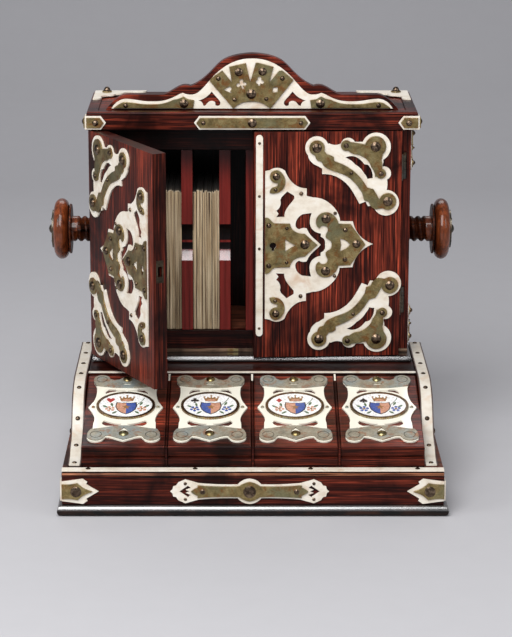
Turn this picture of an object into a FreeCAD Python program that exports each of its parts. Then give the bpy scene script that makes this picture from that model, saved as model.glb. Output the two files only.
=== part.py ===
import FreeCAD, Part
import math
import os
import re
import Sketcher
from FreeCAD import Placement, Rotation, Vector

# A card box: a base with a long drawer, four small lidded boxes on its tray, and a
# two-door card press on a platform behind them.  Millimetres; +X is the right-hand side
# seen from the front, +Y the back, +Z up.  The origin is under the middle of the
# object's bounding box.

SIZES = {
    # Base, drawer opening and tray
    "overall_depth": 203.0,
    "base_reach": 3.2,
    "nose_reach": 3.0,
    "plinth_height": 7.0,
    "plinth_wall": 13.0,
    "bottom_thick": 3.0,
    "base_wall": 10.0,
    "base_height": 17.6,
    "tray_thick": 3.3,
    "tray_setback": 3.3,
    "strip_thick": 1.0,
    "rim_width": 5.5,
    "rim_setback": 0.5,
    # Drawer
    "drawer_front_thick": 8.0,
    "drawer_clear": 0.3,
    "lip_thick": 3.0,
    "lip_gap": 0.7,
    "drawer_length": 130.0,
    "drawer_side": 5.0,
    "drawer_bottom": 2.5,
    "drawer_height": 11.7,
    # Wings beside the boxes
    "wing_thick": 8.0,
    "wing_height": 36.6,
    "wing_run": 75.0,
    "wing_overlap": 33.3,
    "wing_stud_run": 40.0,
    "wing_stud_height": 11.0,
    "wing_toe_height": 1.0,
    # Small boxes and their sliding lids
    "box_clear": 0.3,
    "box_depth": 83.0,
    "box_setback": 8.5,
    "box_wall": 3.0,
    "box_floor": 2.5,
    "divider_thick": 1.2,
    "lid_front_height": 13.2,
    "lid_slope": 15.0,
    "lid_board": 4.9,
    "lid_tongue": 2.2,
    "lid_clear": 0.3,
    "lid_edge_round": 0.8,
    # Platform that carries the card press
    "platform_height": 36.1,
    "platform_gap": 0.4,
    "platform_reach": 2.9,
    "platform_top_thick": 3.3,
    "platform_board": 4.0,
    "waist_height": 3.8,
    "waist_reach": 2.0,
    "waist_front": 12.0,
    # Case of the card press
    "case_width": 203.2,
    "case_depth": 70.0,
    "case_setback": 0.8,
    "case_wall": 8.0,
    "case_back_thick": 4.0,
    "case_base_thick": 2.5,
    "side_height": 146.2,
    "head_rail_height": 14.5,
    "rail_depth": 6.0,
    "sill_height": 12.0,
    "card_floor_thick": 3.0,
    "partition_thick": 7.8,
    # Cornice and pediment
    "cornice_height": 11.5,
    "cornice_reach": 3.4,
    "cornice_front_reach": 10.5,
    "fascia_thick": 7.0,
    "roof_sink": 1.0,
    "pediment_thick": 6.5,
    "pediment_setback": 9.5,
    # Doors, hinges and lock
    "door_thick": 8.95,
    "door_back_gap": 0.25,
    "door_clear": 0.6,
    "pin_inset": 4.5,
    "pin_gap": 2.3,
    "meeting_gap": 0.4,
    "left_door_angle": 62.5,
    "right_door_angle": 3.6,
    "knuckle_radius": 1.9,
    "knuckle_clear": 0.2,
    "hinge_pin_radius": 0.8,
    "hinge_pin_clear": 0.06,
    "hinge_height": 17.0,
    "leaf_thick": 0.9,
    "leaf_width": 7.6,
    "upper_hinge_drop": 24.0,
    "lower_hinge_rise": 35.0,
    "lock_length": 15.0,
    "lock_thick": 5.0,
    "lock_height": 20.0,
    "bolt_length": 11.0,
    "bolt_thick": 2.4,
    "bolt_height": 6.0,
    "bolt_clear": 0.2,
    "bolt_throw": 4.0,
    "strike_thick": 1.0,
    "strike_height": 14.0,
    "strike_margin": 1.3,
    # Card press
    "screw_height": 142.6,
    "screw_radius": 8.4,
    "screw_clear": 0.08,
    "screw_seat_gap": 0.2,
    "thread_pitch": 4.7,
    "thread_depth": 1.5,
    "thread_start": 9.6,
    "thread_length": 9.4,
    "collar_end": 24.7,
    "flange_radius": 17.0,
    "flange_thick": 1.8,
    "knob_radius": 20.0,
    "knob_thick": 9.7,
    "knob_round": 2.6,
    "cap_radius": 12.5,
    "cap_thick": 1.3,
    "plate_thick": 6.3,
    "board_thick": 7.2,
    "board_height": 119.0,
    "board_setback": 0.8,
    "notch_chord": 24.0,
    "notch_depth": 4.0,
    "notch_rise": 58.7,
    "press_gap": 9.9,
    "card_height": 92.0,
    "card_width": 63.0,
    "card_setback": 1.7,
    "stack_clear": 0.3,
    # Mounts
    "ivory_thick": 1.0,
    "brass_thick": 0.8,
    "stud_rise": 1.5,
    "rail_stud_rise": 1.0,
    "pin_radius": 1.5,
    "strap_half": 48.2,
    "strap_shift": -2.0,
    "end_reach": 22.4,
    "cornice_strap_half": 36.8,
    "cornice_end_reach": 12.4,
    "cornice_mount_half": 4.3,
    "cornice_mount_border": 1.1,
    "roof_corner_reach": 34.0,
}

# Stations worked out from the sizes, in the order in which they need each other.
STATIONS = {
    "back_y": "overall_depth / 2",
    "rail_y": "nose_reach - overall_depth / 2",
    "case_half": "case_width / 2",
    "platform_half": "case_half + platform_reach",
    "box_width": "(2 * platform_half - 3 * (2 * box_clear + divider_thick)) / 4",
    "box_half": "box_width / 2",
    "box_pitch": "box_width + 2 * box_clear + divider_thick",
    "wing_inner": "platform_half + box_clear",
    "wing_outer": "wing_inner + wing_thick",
    "base_half": "wing_outer + base_reach",
    "plinth_half": "base_half + nose_reach",
    "plinth_inner": "plinth_half - plinth_wall",
    "frame_top": "plinth_height + base_height",
    "tray_top": "frame_top + tray_thick",
    "rim_top": "tray_top + strip_thick",
    "drawer_back_face": "rail_y + drawer_front_thick",
    "tray_inner": "base_half - base_wall",
    "box_front": "rail_y + box_setback",
    "box_back": "box_front + box_depth",
    "box_bottom": "tray_top + 0.1",
    "lid_length": "box_depth / cos(lid_slope) - lid_board * tan(lid_slope)",
    "lid_front_z": "tray_top + lid_front_height",
    "wing_toe": "box_front",
    "wing_shoulder": "wing_toe + wing_run",
    "wing_top": "tray_top + wing_height",
    "platform_front": "box_back + platform_gap",
    "platform_top": "tray_top + platform_height",
    "case_inner": "case_half - case_wall",
    "case_bottom": "platform_top + waist_height",
    "case_back": "back_y - case_setback",
    "case_front": "case_back - case_depth",
    "wing_back": "case_front + wing_overlap",
    "side_bottom": "case_bottom + case_base_thick",
    "case_top": "side_bottom + side_height",
    "stack_floor": "side_bottom + sill_height",
    "cornice_top": "case_top + cornice_height",
    "cornice_half": "case_half + cornice_reach",
    "cornice_front": "case_front - cornice_front_reach",
    "pediment_face": "cornice_front + pediment_setback",
    "pin_x": "case_half - pin_inset",
    "door_bottom": "case_bottom + door_clear",
    "door_top": "case_top - door_clear",
    "door_reach": "pin_x - meeting_gap",
    "door_face": "door_back_gap + door_thick",
    "door_edge": "pin_x - pin_gap",
    "groove_radius": "knuckle_radius + knuckle_clear",
    "screw_y": "case_front + case_depth / 2",
    "plate_outer": "case_inner - stack_clear",
    "plate_inner": "plate_outer - plate_thick",
    "pack_thick": "(plate_inner - partition_thick / 2 - press_gap - 3 * board_thick) / 3",
    "screw_foot": "plate_outer + screw_seat_gap",
    "knob_start": "collar_end + flange_thick",
    "knob_end": "knob_start + knob_thick",
}

LEFT = -1
RIGHT = 1
SIDE_NAMES = {LEFT: "left", RIGHT: "right"}
SLOPE_AXIS = Vector(1, 0, 0)
UP = Vector(0, 0, 1)

# The wings' front curve: share of the run from shoulder to toe, share of the drop.
WING_CURVE = [(0.25, 0.10), (0.36, 0.23), (0.48, 0.51), (0.62, 0.78), (0.77, 0.87), (1.0, 1.0)]

# The pediment's outline from its outer end to its crown: distance from the middle, rise
# above the cornice, each as the share of its half-width and of its height.
PEDIMENT_HALF_WIDTH = 93.0
PEDIMENT_RISE = 35.8
PEDIMENT_SHOULDERS = [
    [(0.94, 0.17), (0.90, 0.235), (0.83, 0.27)],
    [(0.63, 0.27)],
    [(0.55, 0.33), (0.50, 0.405), (0.42, 0.42)],
    [(0.34, 0.535), (0.27, 0.705), (0.205, 0.865), (0.12, 0.958), (0.0, 1.0)],
]

doc = FreeCAD.newDocument("card_box")
sheet = doc.addObject("Spreadsheet::Sheet", "Sizes")
for row, (alias, number) in enumerate(SIZES.items(), start=1):
    sheet.set(f"A{row}", alias)
    sheet.set(f"B{row}", str(number))
    sheet.setAlias(f"B{row}", alias)
doc.recompute()

stations = doc.addObject("App::FeaturePython", "Stations")


def formula(text):
    """Write a formula of size and station names as FreeCAD's expression engine reads it."""
    def owner(match):
        word = match.group(0)
        if word == "lid_slope":
            return "(Sizes.lid_slope * 1 deg)"
        if word in SIZES:
            return f"Sizes.{word}"
        return f"Stations.{word}" if word in STATIONS else word
    return re.sub(r"[a-z_]+", owner, str(text))


for station, text in STATIONS.items():
    stations.addProperty("App::PropertyFloat", station)
    stations.setExpression(station, formula(text))
    doc.recompute()


class Values:
    """Numbers of the sheet and of the stations, for the shapes that Part makes directly."""

    def __getattr__(self, name):
        return float(sheet.get(name)) if name in SIZES else float(getattr(stations, name))


v = Values()
nodes = []


# ---------------------------------------------------------------- building blocks

def bind(obj, **formulas):
    """Bind properties to formulas; x, y and z stand for the place, angle for the turn."""
    paths = {"x": "Placement.Base.x", "y": "Placement.Base.y", "z": "Placement.Base.z",
             "angle": "Placement.Rotation.Angle"}
    for name, text in formulas.items():
        obj.setExpression(paths.get(name, name), formula(text))
    return obj


def node(obj):
    """Mark an object as one of the finished pieces."""
    nodes.append(obj)
    return obj


def box(label, x, y, z, length, width, height):
    """A box at a corner with its three sizes, all bound to formulas."""
    obj = doc.addObject("Part::Box", label)
    obj.Label = label
    return bind(obj, x=x, y=y, z=z, Length=length, Width=width, Height=height)


def side_box(label, side, inner, outer, y, z, width, height):
    """A box between two distances from the middle plane, on the left or on the right."""
    start = inner if side == RIGHT else f"-({outer})"
    return box(label, start, y, z, f"({outer}) - ({inner})", width, height)


def cylinder(label, x, y, z, radius, height, axis=UP):
    """A cylinder from a centre along an axis, bound to formulas."""
    obj = doc.addObject("Part::Cylinder", label)
    obj.Label = label
    obj.Placement = Placement(Vector(), Rotation(UP, axis))
    return bind(obj, x=x, y=y, z=z, Radius=radius, Height=height)


def cut(label, base, *tools):
    """A base with each tool taken out of it."""
    for index, tool in enumerate(tools):
        result = doc.addObject("Part::Cut", label if tool is tools[-1] else f"{label}_{index}")
        result.Base = base
        result.Tool = tool
        base = result
    base.Label = label
    return base


def fuse(label, *parts):
    """Several shapes as one solid."""
    result = doc.addObject("Part::MultiFuse", label)
    result.Label = label
    result.Shapes = list(parts)
    result.Refine = True
    return result


def group(label, *parts):
    """Several separate solids under one name."""
    result = doc.addObject("Part::Compound", label)
    result.Label = label
    result.Links = list(parts)
    return result


def rounded(label, base, radius, chosen):
    """A shape with the edges rounded that are chosen by their middle point and length."""
    base.recompute(True)
    result = doc.addObject("Part::Fillet", label)
    result.Label = label
    result.Base = base
    picks = [(number, radius, radius) for number, edge in enumerate(base.Shape.Edges, start=1)
             if chosen(edge.CenterOfMass, edge.Length)]
    result.Edges = picks
    return result


def feature(label, solids, place=None):
    """A piece whose shape comes from Part's own functions, placed after it is set."""
    obj = doc.addObject("Part::Feature", label)
    obj.Label = label
    solids = [solid for shape in solids for solid in shape.Solids]
    obj.Shape = solids[0] if len(solids) == 1 else Part.makeCompound(solids)
    if place:
        obj.Placement = place
    return obj


def sketch_body(label, plane, corners):
    """A body with one closed sketch whose corners are bound to formulas."""
    body = doc.addObject("PartDesign::Body", label)
    body.Label = label
    sketch = body.newObject("Sketcher::SketchObject", f"{label}_profile")
    origin_plane = next(item for item in body.Origin.OriginFeatures if item.Role == plane)
    sketch.AttachmentSupport = [(origin_plane, "")]
    sketch.MapMode = "FlatFace"
    spots = [Vector(index, index % 2, 0) for index in range(len(corners))]
    for index, spot in enumerate(spots):
        sketch.addGeometry(Part.LineSegment(spot, spots[(index + 1) % len(spots)]))
    for index in range(len(corners)):
        following = (index + 1) % len(corners)
        sketch.addConstraint(Sketcher.Constraint("Coincident", index, 2, following, 1))
    for index, (across, upward) in enumerate(corners):
        for kind, text in (("DistanceX", across), ("DistanceY", upward)):
            place = sketch.addConstraint(Sketcher.Constraint(kind, index, 1, 1.0))
            sketch.setExpression(f"Constraints[{place}]", formula(text))
    return body, sketch


def padded(label, plane, corners, length, midplane=False):
    """A body padded from a sketch of bound corners."""
    body, sketch = sketch_body(label, plane, corners)
    pad = body.newObject("PartDesign::Pad", f"{label}_pad")
    pad.Profile = sketch
    pad.Midplane = midplane
    pad.setExpression("Length", formula(length))
    return body


def turned(label, corners):
    """A body of revolution about its own X axis from a sketch of bound corners."""
    body, sketch = sketch_body(label, "XY_Plane", corners)
    revolution = body.newObject("PartDesign::Revolution", f"{label}_turning")
    revolution.Profile = sketch
    revolution.ReferenceAxis = (sketch, ["H_Axis"])
    revolution.Angle = 360
    return body


# ---------------------------------------------------------------- flat mounts
# Mounts are drawn upright, x across and z up, and grow towards -Y from the face they
# lie on.  A path is a start point and runs: one point is a straight run, more are a curve.

def path(start, *runs):
    """A closed wire of straight and curved runs, drawn upright."""
    edges = []
    here = start
    for run in runs + ([start],):
        points = [Vector(x, 0, z) for x, z in [here] + run]
        here = run[-1]
        if (points[0] - points[-1]).Length < 1e-6:
            continue
        if len(points) == 2:
            edges.append(Part.LineSegment(*points).toShape())
        else:
            curve = Part.BSplineCurve()
            curve.interpolate(points)
            edges.append(curve.toShape())
    return Part.Wire(edges)


def drawn(wide, high, start, *runs):
    """A closed wire whose points are stretched across and upwards."""
    return path((start[0] * wide, start[1] * high),
                *[[(x * wide, z * high) for x, z in run] for run in runs])


def plate(wire, thick, base=0.0):
    """The solid between a wire's face and the same face a thickness in front of it."""
    solid = Part.Face(wire).extrude(Vector(0, -thick, 0))
    solid.translate(Vector(0, -base, 0))
    return solid


def disc(x, z, radius, thick, base=0.0):
    """A round plate."""
    return Part.makeCylinder(radius, thick, Vector(x, -base, z), Vector(0, -1, 0))


def joined(shapes):
    """Overlapping plates as one solid with clean faces."""
    return shapes[0].multiFuse(shapes[1:]).removeSplitter()


def dome_rise(radius, usual):
    """How far a stud stands out: a wide stud stands out more than the usual small one."""
    return usual * (0.5 + radius / 5.0)


def stud(x, z, radius, base, rise=None):
    """A domed stud: a short rim under a spherical cap."""
    rise = rise or dome_rise(radius, v.stud_rise)
    rim = rise * 0.25
    cap = rise - rim
    sphere = (radius * radius + cap * cap) / (2 * cap)
    half_turn = math.asin(radius / sphere) / 2
    top = Vector(0, -rise, 0)
    shoulder = Vector(radius, -rim, 0)
    bulge = Vector(sphere * math.sin(half_turn), sphere - rise - sphere * math.cos(half_turn), 0)
    edges = [Part.LineSegment(Vector(), Vector(radius, 0, 0)).toShape(),
             Part.LineSegment(Vector(radius, 0, 0), shoulder).toShape(),
             Part.Arc(shoulder, bulge, top).toShape(),
             Part.LineSegment(top, Vector()).toShape()]
    solid = Part.Face(Part.Wire(edges)).revolve(Vector(), Vector(0, 1, 0), 360)
    solid.translate(Vector(x, -base, z))
    return solid


def flip_x(shapes):
    """The mirror images of shapes in the middle plane."""
    return [shape.mirror(Vector(), Vector(1, 0, 0)) for shape in shapes]


def flip_z(shapes):
    """The mirror images of shapes turned upside down about z = 0."""
    return [shape.mirror(Vector(), UP) for shape in shapes]


def moved(shapes, x=0.0, y=0.0, z=0.0):
    """Copies of shapes moved by an offset."""
    copies = [shape.copy() for shape in shapes]
    for shape in copies:
        shape.translate(Vector(x, y, z))
    return copies


def turned_shapes(shapes, place):
    """Copies of shapes brought to a place."""
    return [shape.transformed(place.toMatrix()) for shape in shapes]


def half_and_mirror(wire, thick, base, flip):
    """A symmetric plate from the wire of one half."""
    half = plate(wire, thick, base)
    return joined([half] + flip([half]))


def corner_mount():
    """A fretted corner mount; x runs in from the side edge and z down from the top edge."""
    ivory_body = path((46.6, 7.6), [(42.7, 8.6), (38.8, 7.6)], [(30, 6.8)], [(25, 6.8)],
                      [(18, 12), (12.4, 17.3)], [(12, 19.5), (12.6, 22)], [(9.6, 30.8)],
                      [(9.2, 34.5), (9.9, 39)], [(14, 46), (21.6, 48.4)], [(23.1, 45.4)],
                      [(27, 46.9)], [(30, 41.3), (33.9, 35.3), (38.8, 30.8), (43.7, 28.3), (51, 27.3)],
                      [(51, 23.8)], [(53, 22.5), (56.4, 20.8)], [(60, 15), (55, 10)])
    lobes = [disc(54.5, 10.3, 7.4, v.ivory_thick), disc(34.6, 8.8, 4.7, v.ivory_thick),
             disc(16.7, 10.3, 9.3, v.ivory_thick), disc(11.4, 27.3, 4.4, v.ivory_thick),
             disc(9.9, 46.4, 8.3, v.ivory_thick)]
    piercing = path((36.4, 16.8), [(32, 15.8), (28, 17.3)], [(26, 19), (24.1, 21.3)],
                    [(22.6, 21.4), (21.2, 22.3)], [(19.2, 26), (18.7, 30.3)], [(22.1, 30.8)],
                    [(22.8, 29), (24.1, 27.3)], [(27, 23.5), (30, 21.3)], [(33, 18.5), (36.4, 16.8)])
    ivory = joined([plate(ivory_body, v.ivory_thick)] + lobes)
    ivory = ivory.cut(plate(piercing, 2 * v.ivory_thick, -v.ivory_thick / 2))
    seat = v.ivory_thick
    long_arm = path((51.5, 15.3), [(51.5, 19), (49.6, 22.3)],
                    [(43.7, 25.3), (35.9, 28.3), (30, 33.3), (25.1, 40.3)], [(24.1, 44.4)],
                    [(21.2, 45.4)], [(19.5, 48.5), (16.6, 50.4)], [(11, 49.5)], [(10, 42)],
                    [(14.3, 44.4)], [(16, 41), (18.2, 37.3)], [(22.1, 36.3)],
                    [(24.5, 32.5), (27, 29.3)], [(30.5, 25.8), (33.9, 23.3), (43.7, 18.8)],
                    [(43.7, 16.3)], [(48, 14.6), (51.5, 15.3)])
    short_arm = path((35.9, 6.5), [(30, 7.2), (24.1, 8.3)], [(15, 8)], [(12.6, 13), (13.4, 18)],
                     [(12.8, 23), (13.8, 27)], [(17.2, 29.3)], [(17.9, 26), (19.7, 23.3)],
                     [(21.5, 19.4), (25.1, 16.3)], [(28, 14.8)], [(31.5, 14.2), (34.9, 12)])
    brass = [joined([plate(long_arm, v.brass_thick, seat), disc(54.5, 10.3, 4.9, v.brass_thick, seat),
                     disc(51.9, 15.4, 3.6, v.brass_thick, seat),
                     disc(8.9, 45.4, 5.4, v.brass_thick, seat)]),
             joined([plate(short_arm, v.brass_thick, seat), disc(35.9, 8.9, 3.4, v.brass_thick, seat),
                     disc(17.2, 9.8, 6.7, v.brass_thick, seat),
                     disc(13.5, 27.3, 3.2, v.brass_thick, seat)])]
    top = seat + v.brass_thick
    studs = [stud(54.5, 10.3, 3.0, top), stud(17.2, 9.8, 3.2, top), stud(8.9, 45.4, 3.0, top),
             stud(35.9, 8.9, 1.6, top), stud(13.5, 27.3, 1.6, top), stud(32.4, 26.6, 1.2, top)]
    return [ivory], brass + studs


def lock_mount():
    """The fretted mount round the keyhole; x from the middle plane, z from the keyhole."""
    up = flip_z
    outline = path((7.5, 0), [(7.5, 48.4)], [(10.4, 48.9)], [(15.3, 50.4), (20.2, 48.4)],
                   [(23, 43), (27, 39), (34, 36.9)], [(34, 31.9)], [(38.4, 30.9)],
                   [(45.2, 29.3), (51.1, 24.8), (54.5, 19.8), (55.5, 15.3)], [(63.8, 15)],
                   [(68, 6), (76.8, 0)])
    ivory = half_and_mirror(outline, v.ivory_thick, 0.0, up)
    hook = path((21.5, 35.1), [(26.0, 32.3)], [(26.1, 30.2)], [(22.8, 26.0), (20.6, 22.5), (19.9, 18.6)],
                [(14.6, 18.4)], [(16.1, 20.6)], [(14.7, 22.7)], [(16.9, 25.2), (17.2, 29.6)],
                [(17.9, 31.4)])
    hook = plate(hook, 2 * v.ivory_thick, -v.ivory_thick / 2)
    channel = path((37.3, 20.9), [(36.4, 17.5), (36.3, 13.5), (37.6, 10.4)], [(40.3, 8.3), (43.2, 7.4)],
                   [(43.3, 5.2)], [(45.3, 3.8), (46.0, 0)], [(43.2, 0)],
                   [(40.6, 2.6), (37.6, 5.4), (35.4, 8.4)], [(34.2, 10.8)], [(31.6, 11.0), (29.4, 10.2)],
                   [(27.4, 11.8), (27.0, 14.0)], [(28.4, 17.6), (31.6, 20.2)])
    channel = half_and_mirror(channel, 2 * v.ivory_thick, -v.ivory_thick / 2, up)
    keyhole = joined([disc(12.5, 0, 2.1, 4 * v.brass_thick, -1.0),
                      plate(path((11.9, -1), [(11.6, -3.6)], [(13.4, -3.6)], [(13.1, -1)]),
                            4 * v.brass_thick, -1.0)])
    for opening in (hook, up([hook])[0], channel, keyhole):
        ivory = ivory.cut(opening)
    seat = v.ivory_thick
    shield = path((7.5, 0), [(7.5, 18.2)], [(10.4, 17.4), (12.4, 15.2), (13.6, 14.5)], [(23.4, 14.2)],
                  [(24.4, 11.3), (26.4, 9.2)], [(28.6, 8.1), (32.9, 7.5)], [(36.2, 4.4), (41.2, 0)])
    shield_window = path((20.4, 0), [(20.4, 4.2)], [(22.6, 2.5), (27.2, 0)])
    wing = path((50.2, 0), [(49.8, 2.2), (48.0, 3.6)], [(46.4, 5.0)],
                [(46.8, 7.4), (47.7, 9.5), (47.2, 11.6), (45.5, 12.6), (43.4, 12.3), (42.4, 11.0)],
                [(40.8, 12.2), (40.0, 15.0), (41.2, 18.8), (45.0, 21.2), (49.5, 20.6), (52.8, 17.8),
                 (54.6, 13.7)], [(62.3, 13.4)], [(67.2, 6.6), (71.9, 0)])
    wing_window = path((56.2, 0), [(55.5, 4.2)], [(58.0, 3.4), (62.2, 0)])
    brass = []
    for whole, window in ((shield, shield_window), (wing, wing_window)):
        body = half_and_mirror(whole, v.brass_thick, seat, up)
        hole = half_and_mirror(window, 2 * v.brass_thick, seat - v.brass_thick / 2, up)
        brass.append(body.cut(hole))
    brass[0] = brass[0].cut(keyhole)
    comma = path((13.4, 43.0), [(15.4, 40.8), (15.4, 39.2), (14.0, 38.3)], [(11.6, 37.4), (10.4, 34.4)],
                 [(14.5, 34.2), (18.2, 36.2), (20.2, 40.6), (19.5, 45.0), (17.6, 47.4)], [(15.0, 46.0)])
    comma = joined([disc(14.5, 44.9, 4.1, v.brass_thick, seat), plate(comma, v.brass_thick, seat)])
    brass += [comma] + up([comma])
    top = seat + v.brass_thick
    studs = [stud(33, 0.4, 2.9, top), stud(66.1, 0.4, 2.5, top)]
    for sign in (1, -1):
        studs += [stud(46.4, sign * 17.1, 2.9, top), stud(58.9, sign * 9.7, 1.5, top),
                  stud(9.9, sign * 13.2, 1.6, top), stud(21.4, sign * 11.2, 1.1, top),
                  stud(14.5, sign * 44.9, 2.3, top), stud(14.1, sign * 36.4, 1.2, top),
                  stud(30.5, sign * 33.6, 1.3, seat), stud(52.3, sign * 20.6, 1.1, seat)]
    return [ivory], brass + studs


def whole_from_quarter(wire, thick, base):
    """A plate symmetric both ways from the wire of its upper right quarter."""
    quarter = plate(wire, thick, base)
    half = joined([quarter] + flip_z([quarter]))
    return joined([half] + flip_x([half]))


def strap_mount(half, drawn_half=48.2):
    """The drawer's strap: round hub, narrow neck and pierced ends, in ivory with a brass core."""
    k = half / drawn_half
    seat = v.ivory_thick
    outer = drawn(k, k, (0, 0), [(0, 8)], [(4.5, 6.7), (7.2, 4.3)], [(20, 4.4), (31, 5.2)], [(39, 7.6)],
                  [(43.3, 5.6)], [(44.6, 3.6)], [(46.4, 3.2)], [(46.8, 1.2)], [(48.2, 0)])
    core = drawn(k, k, (0, 0), [(0, 6.2)], [(3.6, 5.1), (6.3, 3.4)], [(20, 3.3), (31.6, 4.0)],
                 [(31.4, 2.6)], [(33.6, 1.6), (35.6, 0)])
    notch = drawn(k, k, (42.6, 0), [(37.4, 3.7)], [(35.6, 2.2)], [(38.8, 1.0)], [(36.6, 0)])
    notch = half_and_mirror(notch, 2 * seat, -seat / 2, flip_z)
    ivory = whole_from_quarter(outer, seat, 0.0).cut(notch).cut(flip_x([notch])[0])
    brass = whole_from_quarter(core, v.brass_thick, seat)
    top = seat + v.brass_thick
    studs = [stud(0, 0, 3.8 * k, top, v.nose_reach - top - 0.05)]
    for sign in (1, -1):
        studs.append(stud(sign * 28.5 * k, 0, 1.6 * k, top, dome_rise(1.6, v.rail_stud_rise)))
        studs += [stud(sign * 39 * k, rise * 5 * k, 1.0 * k, seat, dome_rise(1.0, v.rail_stud_rise))
                  for rise in (1, -1)]
    return [ivory], [brass] + studs


def end_mount(reach, side, drawn_reach=22.4):
    """A mount at the end of the drawer: a straight outer edge and a pointed inner end."""
    k = reach / drawn_reach
    seat = v.ivory_thick
    outline = drawn(k, k, (0, 0), [(0, 6.2)], [(6, 7.0), (12.8, 8.0)], [(15.6, 6.0)], [(14.9, 4.6)],
                    [(18, 2.6), (22.4, 0)])
    core = drawn(k, k, (0, 0), [(0, 4.6)], [(6, 4.7), (9.6, 5.4)], [(12.0, 3.2), (14.4, 1.6)], [(18.6, 0)])
    ivory = half_and_mirror(outline, seat, 0.0, flip_z)
    brass = half_and_mirror(core, v.brass_thick, seat, flip_z)
    knob = stud(8.6 * k, 0, 3.3 * k, seat + v.brass_thick, dome_rise(3.3, v.rail_stud_rise))
    shapes = [ivory], [brass, knob]
    return shapes if side == LEFT else tuple(flip_x(part) for part in shapes)


def pointed(reach, half, thick, base):
    """A plain plate with a square outer end and a point at the inner end."""
    return plate(path((0, half), [(reach - 0.75 * half, half)], [(reach, 0)],
                      [(reach - 0.75 * half, -half)], [(0, -half)]), thick, base)


def cornice_end(reach, half, border, side):
    """A pointed mount with a plain border at the end of the cornice."""
    top = v.ivory_thick + v.brass_thick
    ivory = [pointed(reach, half, v.ivory_thick, 0.0)]
    brass = [pointed(reach - 1.3 * border, half - border, v.brass_thick, v.ivory_thick),
             stud(0.46 * reach, 0, 0.45 * half, top)]
    return (ivory, brass) if side == LEFT else (flip_x(ivory), flip_x(brass))


def cornice_strap(reach, half, border):
    """The long six-sided mount at the middle of the cornice."""
    top = v.ivory_thick + v.brass_thick
    ivory = [pointed(reach, half, v.ivory_thick, 0.0)]
    brass = [pointed(reach - 1.3 * border, half - border, v.brass_thick, v.ivory_thick)]
    ivory, brass = [joined(ivory + flip_x(ivory))], [joined(brass + flip_x(brass))]
    studs = [stud(0, 0, 0.65 * half, top)]
    studs += [stud(sign * 0.84 * reach, 0, 0.33 * half, top) for sign in (1, -1)]
    return ivory, brass + studs


# ---------------------------------------------------------------- base and tray

def make_base():
    """The plinth moulding, bottom board, frame and tray floor."""
    outer = box("plinth_outer", "-plinth_half", "-overall_depth / 2", "0",
                "2 * plinth_half", "overall_depth", "plinth_height")
    nose = 0.48 * v.plinth_height
    outer = rounded("plinth_nose", outer, nose,
                    lambda mid, length: abs(mid.z - v.plinth_height / 2) > 1 and mid.y < v.back_y - 1)
    opening = box("plinth_opening", "-plinth_inner", "plinth_wall - overall_depth / 2", "0",
                  "2 * plinth_inner", "overall_depth - 2 * plinth_wall", "plinth_height")
    node(cut("plinth_moulding", outer, opening))
    node(box("bottom_board", "-plinth_inner", "plinth_wall - overall_depth / 2",
             "plinth_height - bottom_thick", "2 * plinth_inner", "overall_depth - 2 * plinth_wall",
             "bottom_thick"))
    depth = "back_y - drawer_back_face - drawer_clear"
    block = box("base_block", "-base_half", "drawer_back_face + drawer_clear", "plinth_height",
                "2 * base_half", depth, "base_height")
    bay = box("drawer_bay", "-tray_inner", "drawer_back_face + drawer_clear", "plinth_height",
              "2 * tray_inner", f"{depth} - base_wall", "base_height")
    node(cut("base_frame", block, bay))
    node(box("tray_floor", "-base_half", "rail_y + tray_setback", "frame_top", "2 * base_half",
             "back_y - rail_y - tray_setback", "tray_thick"))


def wing_curve(lift):
    """The front curve of a wing's top edge from shoulder to toe, raised by a lift."""
    run = v.wing_shoulder - v.wing_toe
    drop = v.wing_height - v.wing_toe_height
    points = [Vector(0, v.wing_shoulder - share * run, v.wing_top - fall * drop + lift)
              for share, fall in [(0.0, 0.0)] + WING_CURVE]
    curve = Part.BSplineCurve()
    curve.interpolate(points, InitialTangent=Vector(0, -1, 0), FinalTangent=Vector(0, -1, 0))
    return curve.toShape()


def wing_profile(bottom, lift):
    """A closed profile under the wing's top edge, or the band between two lifts of it."""
    curve = wing_curve(lift)
    front = curve.Vertexes[-1].Point
    shoulder = Vector(0, v.wing_shoulder, v.wing_top + lift)
    back = Vector(0, v.wing_back, v.wing_top + lift)
    top_edge = [Part.LineSegment(back, shoulder).toShape(), curve]
    if bottom is None:
        under = wing_curve(0.0)
        low_front = under.Vertexes[-1].Point
        low_back = Vector(0, v.wing_back, v.wing_top)
        low_shoulder = Vector(0, v.wing_shoulder, v.wing_top)
        rest = [Part.LineSegment(front, low_front).toShape(), under,
                Part.LineSegment(low_shoulder, low_back).toShape(),
                Part.LineSegment(low_back, back).toShape()]
    else:
        low_front = Vector(0, front.y, bottom)
        low_back = Vector(0, back.y, bottom)
        rest = [Part.LineSegment(front, low_front).toShape(),
                Part.LineSegment(low_front, low_back).toShape(),
                Part.LineSegment(low_back, back).toShape()]
    return Part.Face(Part.Wire(Part.sortEdges(top_edge + rest)[0]))


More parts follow.
